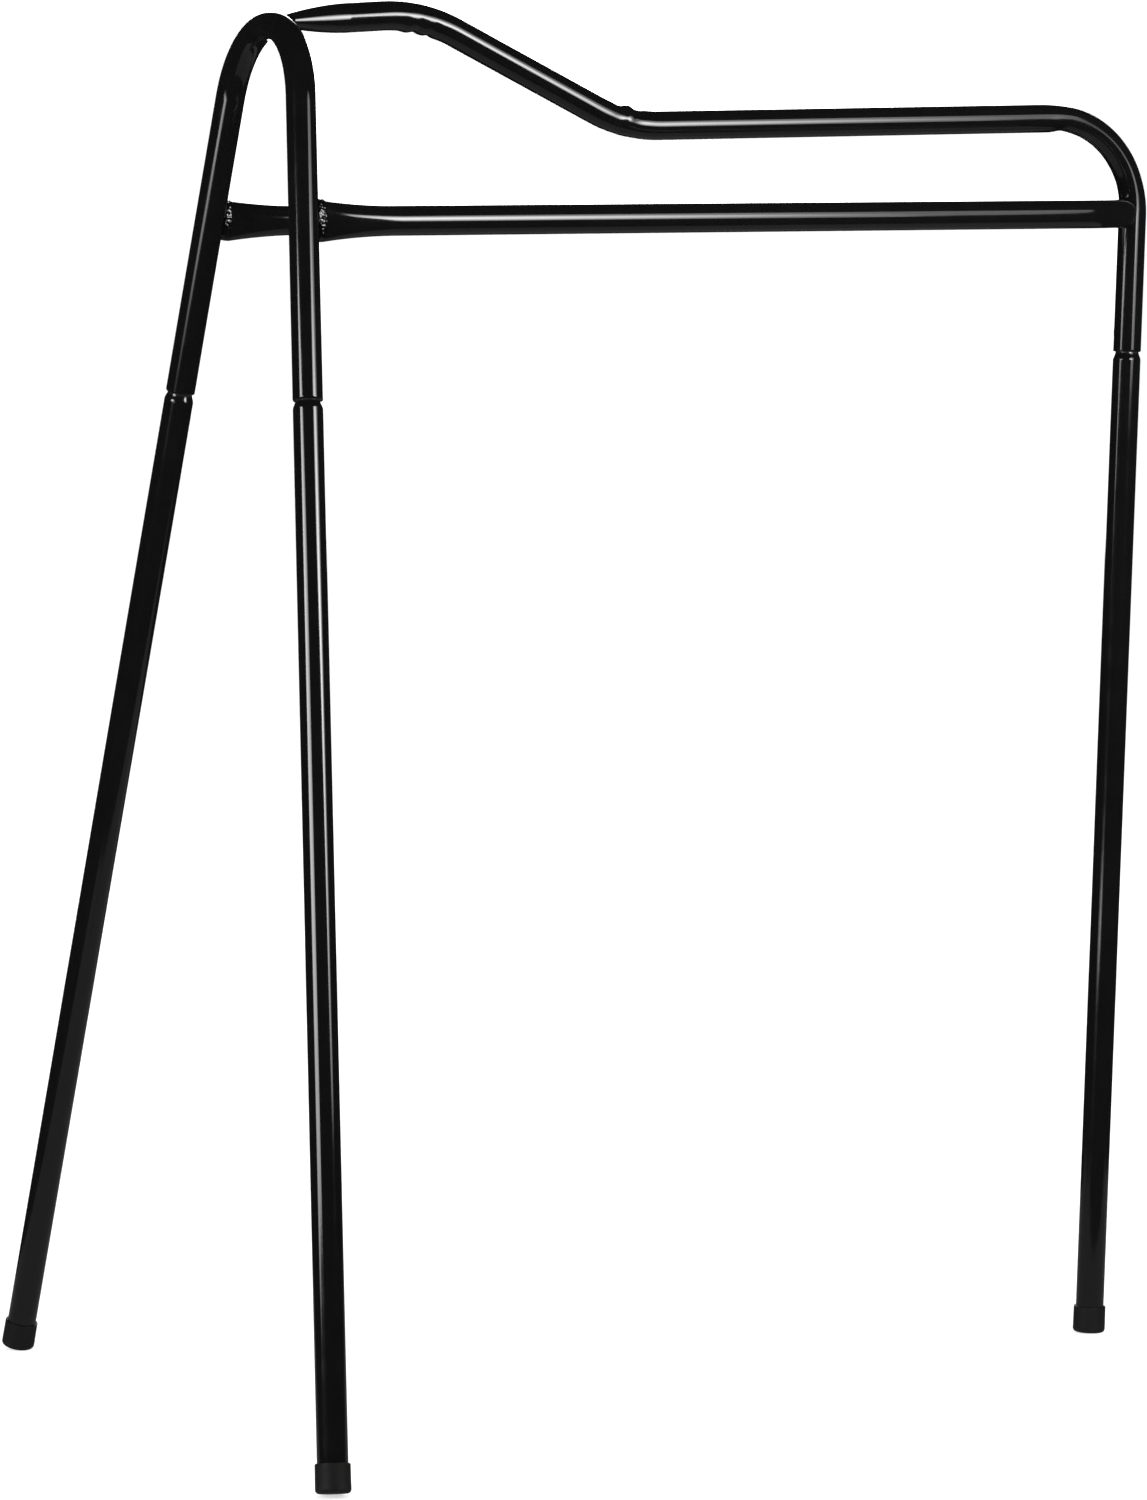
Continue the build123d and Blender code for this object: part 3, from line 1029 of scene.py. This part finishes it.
@dataclass
class SideRail(BentTube):
    """The side rail: two converging arms with pressed ends, and a loop coped to the post."""

    sizes: StandSizes
    flare_half_width: float = 5.5
    flare_half_height: float = 13.0
    flare_length: float = 52.0
    loop_flattening: float = 0.04
    rearward: Array = field(init=False)
    level_up: Array = field(init=False)
    spine: Spine = field(init=False)
    rims: tuple[RimCut, RimCut] = (RimCut.SAWN, RimCut.SAWN)

    def __post_init__(self) -> None:
        """Lay the centre line from the left arm's end round the loop to the right arm's end."""
        z = self.sizes
        tilt = math.atan(z.rail_rise / z.wheelbase)
        self.rearward = np.array([math.cos(tilt), 0.0, math.sin(tilt)])
        self.level_up = np.array([-math.sin(tilt), 0.0, math.cos(tilt)])
        taper = (z.hoop_half_width - z.rail_rear_half_width) / z.wheelbase
        angle = math.atan(taper)
        across = math.sqrt(1 - z.hoop_leg_up(Side.RIGHT)[0] ** 2)
        arm_start = z.tube_r / across + z.rail_end_gap
        rear = z.post_x(z.rail_z + z.rail_rise) - z.tube_od + z.rail_cope
        radius = (z.hoop_half_width - taper * rear) * math.cos(angle) / (1 - taper * math.cos(angle))
        meet = z.hoop_half_width / taper
        flat = [
            (arm_start, -(z.hoop_half_width - taper * arm_start)),
            (meet, 0.0),
            (arm_start, z.hoop_half_width - taper * arm_start),
        ]
        corners = np.array([z.hoop_origin + self.rearward * x + ACROSS * y for x, y in flat])
        self.spine = Spine(corners, [radius], self.level_up)

    def stations(self) -> Array:
        """Stations, closer together on the pressed ends and where the loop meets the post."""
        end = self.spine.length
        near = spaced(0.0, 60.0, 1.0)
        loop = spaced(end / 2 - 14, end / 2 + 14, 0.5)
        return np.concatenate([super().stations(), near, end - near, loop])

    def section(self, s: Array) -> tuple[Array, Array, Array]:
        """Section: pressed tall and thin at both ends, slightly flat round the loop.

        Formula: with u running from 0 at the full tube to 1 at the end, the half height is
        r + (pressed - r) * u^2.02 and the half width r - (r - pressed) * u^2.14.
        """
        r = self.sizes.tube_r
        near = np.minimum(s, self.spine.length - s)
        u = np.clip((self.flare_length - near) / self.flare_length, 0.0, 1.0)
        begin, end = self.spine.arc(0)
        bent = ease((s - begin) / 24.0 + 0.4) * ease((end - s) / 24.0 + 0.4)
        width = r - (r - self.flare_half_width) * u**2.14 - 0.5 * r * self.loop_flattening * bent
        height = r + (self.flare_half_height - r) * u**2.02
        return width, height, 2.0 + 0.35 * u

    def fit(self, points: Array, depth: Array) -> Array:
        """Cope the loop round the post, whose wall closes the hole."""
        z = self.sizes
        foot = z.middle(z.post_x(z.rail_z), z.rail_z)
        clear = (z.tube_r + SEAT + 0.3 * (depth > 0))[:, None]
        return push_out(points, near_line(points, foot, z.post_up), clear)


@dataclass
class WeldBeads:
    """The five weld beads that join the three bent tubes."""

    sizes: StandSizes
    hoop: FrontHoop
    rail: SideRail
    toe: float = 1.0
    lap: float = 3.0
    ripple_pitch: float = 1.9
    ripple_height: float = 0.16
    spatter_height: float = 0.75
    spatter_count: int = 90
    seed: int = 11

    def ring(
        self,
        middle: Array,
        axes: tuple[Array, Array, Array],
        halves: tuple[float, float],
        back: Callable[[Array], Array],
        gap_below: float,
        seed: int,
    ) -> tuple[Array, Array]:
        """A bead round a pressed tube's end, from the tube it is welded to, to its own skin.

        Formula: for each angle round the end's ellipse, five control points (toe on the other tube,
        crown, toe on the skin, root in the wall, root at the other tube) are joined by a closed
        cubic B-spline, and the crown side is lifted by ripples and spatter.

        Args:
            middle: Centre of the pressed end.
            axes: Across, up and along the pressed tube.
            halves: The end's half sizes, across and up.
            back: Function from points in the end's plane to the run along the tube to the surface
                that it is welded to.
            gap_below: How far the bead draws in at its lowest point, where the gap is left open.
            seed: Seed of the spatter.

        Returns:
            The grid, and the share of crest at each point.
        """
        across, up, along = axes
        phi = np.linspace(0.0, 2 * math.pi, 240, endpoint=False)[:, None]
        open_low = lobe(phi, -math.pi / 2, 0.45) * gap_below
        toe, lap = self.toe - open_low * 1.2, self.lap - open_low
        # Control points: offset from the ellipse, and run along the tube past the surface or the end.
        offsets = np.concatenate([toe, 0.82 * toe, 0.08 + 0 * toe, -0.7 + 0 * toe, -1.25 + 0 * toe], axis=1)
        ahead = np.concatenate([0 * lap - 0.25, 0.45 + 0 * lap, lap, 0.7 + 0 * lap, -0.25 + 0 * lap], axis=1)
        share = np.array([1.0, 0.5, 0.0, 0.0, 1.0])[None, :]
        flat_x = (halves[0] + offsets) * np.cos(phi)
        flat_y = (halves[1] + offsets) * np.sin(phi)
        plane = middle + flat_x[..., None] * across + flat_y[..., None] * up
        run = share * back(plane) + ahead
        knots = plane + run[..., None] * along
        t = np.linspace(0.0, 5.0, 40, endpoint=False)
        i, f = np.floor(t).astype(int), t - np.floor(t)
        basis = [
            (1 - f) ** 3 / 6,
            (3 * f**3 - 6 * f**2 + 4) / 6,
            (-3 * f**3 + 3 * f**2 + 3 * f + 1) / 6,
            f**3 / 6,
        ]
        grid = sum(knots[:, (i + k - 1) % 5] * w[None, :, None] for k, w in enumerate(basis))
        return self.rough(grid, phi, t, middle, seed, float(sum(halves)))

    def rough(
        self, grid: Array, phi: Array, t: Array, middle: Array, seed: int, girth: float
    ) -> tuple[Array, Array]:
        """Lift a bead's open side by ripples and spatter, away from the bead's own middle line."""
        spine = grid.mean(axis=1, keepdims=True)
        away = grid - spine
        away = away / np.linalg.norm(away, axis=-1, keepdims=True)
        face = swell(t[None, :], 1.1, 0.95)
        ripple = np.abs(np.sin(phi * math.pi * girth / self.ripple_pitch / 2 + 0.9 * np.sin(2 * phi)))
        rng = np.random.default_rng(self.seed + seed)
        rows = rng.integers(0, grid.shape[0], self.spatter_count)
        cols = rng.integers(2, 14, self.spatter_count)
        sizes = rng.uniform(0.4, 1.0, self.spatter_count)
        heights = rng.uniform(-0.8, 1.0, self.spatter_count) * self.spatter_height
        balls = lumps(grid, grid[rows, cols], sizes, heights)
        lift = face * (self.ripple_height * ripple + balls)
        return grid + away * lift[..., None], np.clip(face * (0.35 * ripple + balls), 0, 1)

    def arm_bead(self, side: Side) -> tuple[Array, Array]:
        """The bead between one of the side rail's ends and the hoop's leg."""
        rail, z = self.rail, self.sizes
        middle = rail.spine.corners[0 if side is Side.LEFT else -1]
        along = unit(rail.spine.corners[1] - middle)
        across = unit(np.cross(rail.level_up, along))
        up = np.cross(along, across)
        origin, leg_up = self.hoop.leg_line(side)

        def back(points: Array) -> Array:
            """Run to the leg's rear surface: the far root of |w + t v| = r, square to the leg."""
            w = points - origin
            w = w - (w @ leg_up)[..., None] * leg_up
            v = along - (along @ leg_up) * leg_up
            b, c = w @ v, np.sum(w * w, axis=-1) - z.tube_r**2
            return (-b + np.sqrt(np.maximum(b * b - (v @ v) * c, 1.0))) / (v @ v)

        halves = (rail.flare_half_width, rail.flare_half_height)
        return self.ring(middle, (across, up, along), halves, back, 1.3, 1 if side is Side.LEFT else 2)

    def bill_bead(self, top: TopRail) -> tuple[Array, Array]:
        """The bead between the bill's tip and the hoop's crown."""
        z = self.sizes
        along = unit(top.spine.corners[1] - top.spine.corners[0])
        middle = top.spine.corners[0] + along * top.bill_bury
        up = np.cross(along, ACROSS)
        hub = z.hoop_origin + z.hoop_up * z.hoop_arc_rise

        def back(points: Array) -> Array:
            """Run to the crown's rear surface: sqrt(r^2 - (distance from the bend's line)^2)."""
            w = points - hub
            high, side = w @ z.hoop_up, w[..., 1]
            off = np.hypot(high, side) - z.hoop_bend_radius
            reach = np.sqrt(np.maximum(z.tube_r**2 - off**2, 4.0)) - w @ z.hoop_rearward
            return reach / (along @ z.hoop_rearward)

        halves = (top.bill_half_height + 0.4, top.bill_half_width - 0.3)
        return self.ring(middle, (up, ACROSS, along), halves, back, 0.0, 3)

    def crotch_bead(self, up: int) -> tuple[Array, Array]:
        """A bead in the corner between the loop and the post, above or below the loop.

        Formula: a round section of radius 2.3 * sqrt(1 - v^4) is carried across the post on an arc
        that follows the post's front, with v from -1 to 1, and pressed into both tubes.

        Args:
            up: 1 above the loop, -1 below it.

        Returns:
            The grid, and the share of crest at each point.
        """
        z, rail = self.sizes, self.rail
        v = np.linspace(-0.995, 0.995, 60)[:, None]
        psi = np.linspace(0.0, 2 * math.pi, 36, endpoint=False)[None, :]
        deep = math.sqrt(z.tube_r**2 - (z.tube_r - z.rail_cope) ** 2)
        foot = z.middle(z.post_x(z.rail_z + z.rail_rise), z.rail_z + z.rail_rise)
        turn = v * 0.62
        reach = z.tube_r + 0.35
        line = foot + z.post_up * up * (deep + 0.75 - 2.2 * v[..., None] ** 2)
        line = line - rail.rearward * (reach * np.cos(turn))[..., None]
        line = line + ACROSS * (reach * np.sin(turn))[..., None]
        size = 2.3 * np.sqrt(1 - v**4)
        wave = 1 + 0.10 * np.sin(v * 17.0) + 0.05 * np.sin(v * 31.0 + 2.0)
        out = np.cos(psi)[..., None] * -rail.rearward + np.sin(psi)[..., None] * UP
        grid = line + out * (size * wave)[..., None]
        crest = np.clip(np.cos(psi - up * 0.8), 0, 1) * 0.4 + 0 * v
        return grid, crest

    def pieces(self, top: TopRail) -> list[Piece]:
        """The five beads."""
        made = []
        for name, node, (grid, crest) in (
            ("hoop_top_bead", "hoop_top_weld", self.bill_bead(top)),
            ("left_rail_bead", "left_rail_weld", self.arm_bead(Side.LEFT)),
            ("right_rail_bead", "right_rail_weld", self.arm_bead(Side.RIGHT)),
        ):
            made.append(Piece(name, node, "frame", Slot.WELD, outward(grid), marks={"crest": crest}))
        for name, node, up in (
            ("loop_top_bead", "loop_top_weld", 1),
            ("loop_bottom_bead", "loop_bottom_weld", -1),
        ):
            grid, crest = self.crotch_bead(up)
            made.append(Piece(name, node, "frame", Slot.WELD, outward(grid, False), False, {"crest": crest}))
        return made


def outward(grid: Array, closed: bool = True) -> Array:
    """Turn a grid's rings the other way round if its faces point inwards.

    Formula: the signed volume is the sum over the quads of corner . (edge x edge) / 3, and a
    negative sum means that the faces point in.
    """
    rolled = np.roll(grid, -1, axis=0)
    corner, ahead = (grid, rolled) if closed else (grid[:-1], grid[1:])
    side = np.roll(corner, -1, axis=1)
    middle = grid.mean(axis=(0, 1))
    volume = np.sum((corner - middle) * np.cross(ahead - middle, side - middle))
    return grid if volume > 0 else grid[:, ::-1]


@dataclass
class PlugLeg:
    """One plug-in leg: a straight tube with a swaged neck, and the rubber cap on its end."""

    place: str
    rim: Array
    up: Array
    sizes: StandSizes
    neck_chamfer: float = 1.0
    cap_draft: float = 0.12
    cap_lip_round: float = 0.6
    around: int = 80

    def axes(self) -> tuple[Array, Array]:
        """Two directions square to the leg."""
        first = unit(np.cross(ACROSS, self.up))
        return first, np.cross(self.up, first)

    def spun(self, radius: Array, height: Array, bump: Array | float = 0.0) -> Array:
        """Spin a closed profile round the leg.

        Formula: point = foot + height * up + (radius + bump) * (cos(theta) * axis1 + sin(theta) *
        axis2).

        Args:
            radius: Profile radii.
            height: Profile heights above the cap's bottom.
            bump: Added radius, by profile point and angle.

        Returns:
            The grid, one ring a profile point.
        """
        theta = np.linspace(0.0, 2 * math.pi, self.around, endpoint=False)
        first, second = self.axes()
        foot = self.rim - self.up * self.sizes.leg_reach
        out = np.cos(theta)[:, None] * first + np.sin(theta)[:, None] * second
        reach = (radius[:, None] + bump) * np.ones(self.around)
        return foot + height[:, None, None] * self.up + reach[..., None] * out

    def tube(self) -> tuple[Array, Array, Array]:
        """The leg's closed profile: outside up to the neck's tip, then down the bore.

        Formula: through the shoulder the radius falls from the tube's to the neck's as
        cos-eased height, which rounds both ends of the swaged cone.

        Returns:
            Radii, heights, and the share of the coat worn.
        """
        z = self.sizes
        neck_r = z.tube_r - z.tube_wall - z.neck_clearance
        start = z.leg_reach - 0.05 - z.shoulder_length
        tip = z.leg_reach + z.neck_insertion
        turn = np.linspace(0.0, math.pi / 2, 8)
        rise = np.linspace(0.0, 1.0, 25)
        cone = z.tube_r + (neck_r - z.tube_r) * (0.35 * rise + 0.65 * ease(rise))
        lead = np.linspace(0.0, 1.0, 5)
        foot = z.cap_floor + 0.6
        low = np.concatenate(
            [[foot + 0.4, foot + 2.0], spaced(foot + 8.0, start - 6.0, 40.0), [start - 2.0, start - 0.4]]
        )
        neck = spaced(z.leg_reach + 1.0, tip - self.neck_chamfer, 4.0)
        bore_neck = neck_r - z.neck_wall
        out_r = [z.tube_r - 0.6 * (1 - np.sin(turn)), low * 0 + z.tube_r, cone, neck * 0 + neck_r]
        out_h = [z.cap_floor + 0.6 * (1 - np.cos(turn)), low, start + rise * z.shoulder_length, neck]
        out_r.append(neck_r - self.neck_chamfer * lead[1:])
        out_h.append(tip - self.neck_chamfer * (1 - ease(lead[1:])))
        inside = np.array([bore_neck + 0.1, bore_neck, bore_neck, z.bore_r, z.bore_r])
        heights = np.array([tip, tip - 0.3, z.leg_reach - 0.05, start, z.cap_floor])
        radius, height = np.concatenate([*out_r, inside]), np.concatenate([*out_h, heights])
        return radius, height, 0.9 * ease((height - z.leg_reach + 1.6) / 3.0)

    def cap(self) -> tuple[Array, Array, Array]:
        """The cap's closed profile: up the outside, over the lip, down the bore to the floor.

        Returns:
            Radii, heights, and nearness to the sole.
        """
        z = self.sizes
        turn = np.linspace(0.0, math.pi / 2, 9)
        draft = self.cap_draft
        bore = z.tube_r + z.cap_clearance
        top = z.cap_r - draft
        sole = np.linspace(0.02, z.cap_r - z.cap_round, 6)
        dish = 0.25 * (1 - (sole / (z.cap_r - z.cap_round)) ** 4)
        rise = np.linspace(0.0, 1.0, 10)[1:-1]
        radius = np.concatenate(
            [
                sole,
                z.cap_r - z.cap_round * (1 - np.sin(turn[1:])),
                z.cap_r - draft * rise,
                top - self.cap_lip_round * (1 - np.cos(turn)),
                [bore + 0.25, bore, bore, bore - 0.3, 0.02],
            ]
        )
        height = np.concatenate(
            [
                dish,
                z.cap_round * (1 - np.cos(turn[1:])),
                z.cap_round + (z.cap_height - z.cap_round - self.cap_lip_round) * rise,
                z.cap_height - self.cap_lip_round * (1 - np.sin(turn)),
                [z.cap_height, z.cap_height - 0.25, z.cap_floor + 0.3, z.cap_floor - 0.02, z.cap_floor - 0.02],
            ]
        )
        return radius, height, ease(1.0 - height / 7.0)

    def pieces(self) -> list[Piece]:
        """The leg and its cap."""
        body = f"{self.place}_leg_body"
        radius, height, worn = self.tube()
        leg = self.spun(radius, height)
        rub = worn[:, None] * np.ones(self.around)
        radius, height, sole = self.cap()
        theta = np.linspace(0.0, 2 * math.pi, self.around, endpoint=False)[None, :]
        # The mould's parting line: a thin raised seam up two sides, and a slight wave of the wall.
        outside = (radius > self.sizes.tube_r + 0.6)[:, None]
        seam = 0.07 * (lobe(theta, 0.6, 0.06) + lobe(theta, 0.6 + math.pi, 0.06))
        wave = 0.06 * np.sin(3 * theta + 1.1) * (height / self.sizes.cap_height)[:, None]
        shell = self.spun(radius, height, (seam + wave) * outside)
        near_sole = sole[:, None] * np.ones(self.around)
        return [
            Piece(
                f"{self.place}_leg_tube", f"{self.place}_leg", body, Slot.LEG_COAT, outward(leg),
                marks={"rub": rub},
            ),
            Piece(
                f"{self.place}_cap_rubber", f"{self.place}_cap", body, Slot.CAP, outward(shell, False), False,
                {"sole": near_sole},
            ),
        ]


@dataclass
class SaddleStand:
    """The whole stand."""

    sizes: StandSizes = field(default_factory=StandSizes)

    def build(self) -> list[Piece]:
        """Work out every piece's surface."""
        z = self.sizes
        hoop = FrontHoop(z)
        top = TopRail(z, hoop)
        rail = SideRail(z)
        made = [
            hoop.piece("hoop_tube", "front_hoop"),
            top.piece("top_rail_tube", "top_rail"),
            rail.piece("side_rail_tube", "side_rail"),
            *WeldBeads(z, hoop, rail).pieces(top),
        ]
        legs = (
            ("front_left", hoop.spine.corners[0], z.hoop_leg_up(Side.LEFT)),
            ("front_right", hoop.spine.corners[-1], z.hoop_leg_up(Side.RIGHT)),
            ("rear", top.spine.corners[-1], z.post_up),
        )
        for place, rim, up in legs:
            made += PlugLeg(place, rim, up, z).pieces()
        return made

    def dress(self, made: Sequence[Piece], finishes: Finishes) -> list[bpy.types.Object]:
        """Make every piece's object in its finish."""
        return [piece.put(finishes.for_slot(piece.slot)) for piece in made]


# ---------------------------------------------------------------- studio


@dataclass(frozen=True)
class SoftBox:
    """A soft light panel with a hot middle, seen by the stand but not by the camera.

    Attributes:
        name: The panel's name.
        corners: Corners of its face in metres, in order round it.
        even: Brightness of the whole cloth, where 1 is white.
        hot: Brightness that the lamp behind the cloth adds at its hottest point.
        lamp: The hottest point.
        spread: Distance along X, Y and Z at which the lamp's glow has faded out.
    """

    name: str
    corners: tuple[Triple, ...]
    even: float
    hot: float = 0.0
    lamp: tuple[float, float, float] = (0.0, 0.0, 0.0)
    spread: tuple[float, float, float] = (1.0, 1.0, 1.0)

    def cloth(self) -> bpy.types.Material:
        """The panel's glow: even + hot * (1 - distance from the lamp / spread), never below even."""
        made = new_material(f"{self.name}_cloth")
        tree = made.node_tree
        place = add_node(tree, "ShaderNodeTexCoord").outputs["Object"]
        scale = tuple(1.0 / s for s in self.spread)
        centred = add_node(
            tree, "ShaderNodeMapping", {"vector_type": "POINT"},
            {"Location": tuple(-c * s for c, s in zip(self.lamp, scale)), "Scale": scale}, {"Vector": place},
        ).outputs["Vector"]
        glow = add_node(
            tree, "ShaderNodeTexGradient", {"gradient_type": "SPHERICAL"}, links={"Vector": centred}
        ).outputs["Fac"]
        level = add_node(
            tree, "ShaderNodeMath", {"operation": "MULTIPLY_ADD"}, {1: self.hot, 2: self.even}, {0: glow}
        ).outputs[0]
        shine = add_node(
            tree, "ShaderNodeEmission", values={"Color": linear(WHITE)}, links={"Strength": level}
        )
        add_node(tree, "ShaderNodeOutputMaterial", links={"Surface": shine.outputs[0]})
        return made

    def hang(self) -> bpy.types.Object:
        """Hang the panel as one flat face."""
        mesh = bpy.data.meshes.new(self.name)
        mesh.from_pydata(self.corners, [], [tuple(range(len(self.corners)))])
        mesh.materials.append(self.cloth())
        made = bpy.data.objects.new(self.name, mesh)
        bpy.context.scene.collection.objects.link(made)
        made.visible_camera = False
        made.visible_shadow = False
        made.visible_diffuse = max(corner[2] for corner in self.corners) > 0.1
        return made


def upright(axis: int, place: float, outline: Sequence[tuple[float, float]]) -> tuple[Triple, ...]:
    """Corners of a panel that stands square to an axis.

    Args:
        axis: 0 for a panel square to X, 1 for one square to Y.
        place: Where the panel stands along that axis.
        outline: Its corners, as places along the other level axis and heights.

    Returns:
        The corners, in order.
    """
    return tuple((place, across, z) if axis == 0 else (across, place, z) for across, z in outline)


def level_patch(x0: float, x1: float, y0: float, y1: float) -> tuple[Triple, ...]:
    """Corners of a lit patch that lies just above the floor."""
    return ((x0, y0, 0.0005), (x1, y0, 0.0005), (x1, y1, 0.0005), (x0, y1, 0.0005))


@dataclass(frozen=True)
class Studio:
    """Pale floor, pale surround, soft panels and the camera."""

    eye: tuple[float, float, float] = (-1.79782, -3.60105, 0.77215)
    yaw: float = 0.4485
    pitch: float = 0.0886
    roll: float = -0.0021
    lens: float = 147.335
    floor_reach: float = 60.0
    floor_colour: str = "#c4c4c4"
    floor_glow: float = 0.6
    drape_light: float = 0.012
    matt_light: float = 0.75
    seen_light: float = 1.05
    panels: tuple[SoftBox, ...] = (
        SoftBox(
            "right_panel",
            upright(
                1, -1.4,
                (
                    (0.52, 0.62), (1.05, 0.62), (1.05, 1.72), (0.72, 1.72),
                    (0.17, 1.33), (0.17, 1.16), (0.38, 1.02), (0.46, 0.8),
                ),
            ),
            3.7, 21.0, (0.53, -1.4, 1.09), (0.5, 1.0, 0.45),
        ),
        SoftBox("right_flap", upright(1, -1.4, ((1.05, 0.8), (1.16, 0.8), (1.5, 1.72), (1.05, 1.72))), 2.4),
        SoftBox(
            "left_panel",
            upright(
                0, -3.0,
                (
                    (-1.7, 1.08), (-1.1, 0.9), (-0.72, 0.76), (-0.44, 0.61),
                    (-0.2, 0.61), (-0.2, 1.7), (-0.5, 1.88), (-1.7, 1.88),
                ),
            ),
            3.9, 12.5, (-3.0, -0.38, 1.4), (1.0, 1.6, 0.85),
        ),
        # Straight behind the stand, for the views from its back.
        SoftBox(
            "back_panel", ((0.42, 2.06, 0.45), (1.38, 1.58, 0.45), (1.38, 1.58, 1.65), (0.42, 2.06, 1.65)),
            3.0, 12.0, (0.9, 1.82, 1.15), (0.7, 0.7, 0.55),
        ),
        # The far end of the pale sweep on the left is lit, and so is the floor under the stand.
        SoftBox(
            "left_sweep", level_patch(-4.9, -2.9, -2.6, -0.5),
            0.0, 10.0, (-4.4, -1.75, 0.0), (2.2, 1.3, 1.0),
        ),
        SoftBox("near_floor", level_patch(-0.75, 0.95, -0.4, 0.7), 0.22),
    )

    def camera(self) -> None:
        """Set up the camera, turned by yaw, then pitch, then roll."""
        cy, sy, cp, sp = math.cos(self.yaw), math.sin(self.yaw), math.cos(self.pitch), math.sin(self.pitch)
        ahead = np.array([sy * cp, cy * cp, -sp])
        level = np.array([cy, -sy, 0.0])
        lift = np.cross(level, ahead)
        right = math.cos(self.roll) * level + math.sin(self.roll) * lift
        up = math.cos(self.roll) * lift - math.sin(self.roll) * level
        data = bpy.data.cameras.new("studio_camera")
        data.lens, data.sensor_width, data.sensor_fit = self.lens, 36.0, "AUTO"
        data.clip_start, data.clip_end = 0.1, 200.0
        made = bpy.data.objects.new("studio_camera", data)
        bpy.context.scene.collection.objects.link(made)
        matrix = np.eye(4)
        matrix[:3, 0], matrix[:3, 1], matrix[:3, 2], matrix[:3, 3] = right, up, -ahead, self.eye
        made.matrix_world = matrix.T
        bpy.context.scene.camera = made

    def floor(self) -> None:
        """Lay a plain pale floor. It glows a little, so it runs out to white with no horizon."""
        made = new_material("pale_matt_floor")
        tree = made.node_tree
        colour = linear(self.floor_colour)
        paint = add_node(tree, "ShaderNodeBsdfDiffuse", values={"Color": colour, "Roughness": 0.4})
        glow = add_node(
            tree, "ShaderNodeEmission", values={"Color": linear(WHITE), "Strength": self.floor_glow}
        )
        both = add_node(tree, "ShaderNodeAddShader", links={0: paint.outputs[0], 1: glow.outputs[0]})
        add_node(tree, "ShaderNodeOutputMaterial", links={"Surface": both.outputs[0]})
        r = self.floor_reach
        mesh = bpy.data.meshes.new("floor")
        mesh.from_pydata([(-r, -r, 0.0), (r, -r, 0.0), (r, r, 0.0), (-r, r, 0.0)], [], [(0, 1, 2, 3)])
        mesh.materials.append(made)
        ground = bpy.data.objects.new("floor", mesh)
        bpy.context.scene.collection.objects.link(ground)
        ground.visible_glossy = False

    def surround(self) -> None:
        """White surround for the eye, even light for matt surfaces, and dark drapes in reflections."""
        world = bpy.data.worlds.new("surround")
        bpy.context.scene.world = world
        world.use_nodes = True
        tree = world.node_tree
        tree.nodes.clear()
        ray = add_node(tree, "ShaderNodeLightPath")
        matt = add_node(
            tree, "ShaderNodeMix", {"data_type": "FLOAT"}, {2: self.drape_light, 3: self.matt_light},
            {0: ray.outputs["Is Diffuse Ray"]},
        ).outputs[0]
        level = add_node(
            tree, "ShaderNodeMix", {"data_type": "FLOAT"}, {3: self.seen_light},
            {0: ray.outputs["Is Camera Ray"], 2: matt},
        ).outputs[0]
        glow = add_node(
            tree, "ShaderNodeBackground", values={"Color": linear(WHITE)}, links={"Strength": level}
        )
        add_node(tree, "ShaderNodeOutputWorld", links={"Surface": glow.outputs[0]})

    def set_up(self) -> None:
        """Set up the camera, lights, floor and surround."""
        self.camera()
        for panel in self.panels:
            panel.hang()
        self.floor()
        self.surround()
        view = bpy.context.scene.view_settings
        view.view_transform, view.look, view.exposure, view.gamma = "Standard", "None", 0.0, 1.0


def main() -> None:
    """Build the stand and set up the studio."""
    logging.basicConfig(level=logging.INFO, format="%(message)s")
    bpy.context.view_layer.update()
    stand = SaddleStand()
    stand.dress(stand.build(), Finishes.mixed())
    Studio().set_up()


if __name__ == "__main__":
    main()
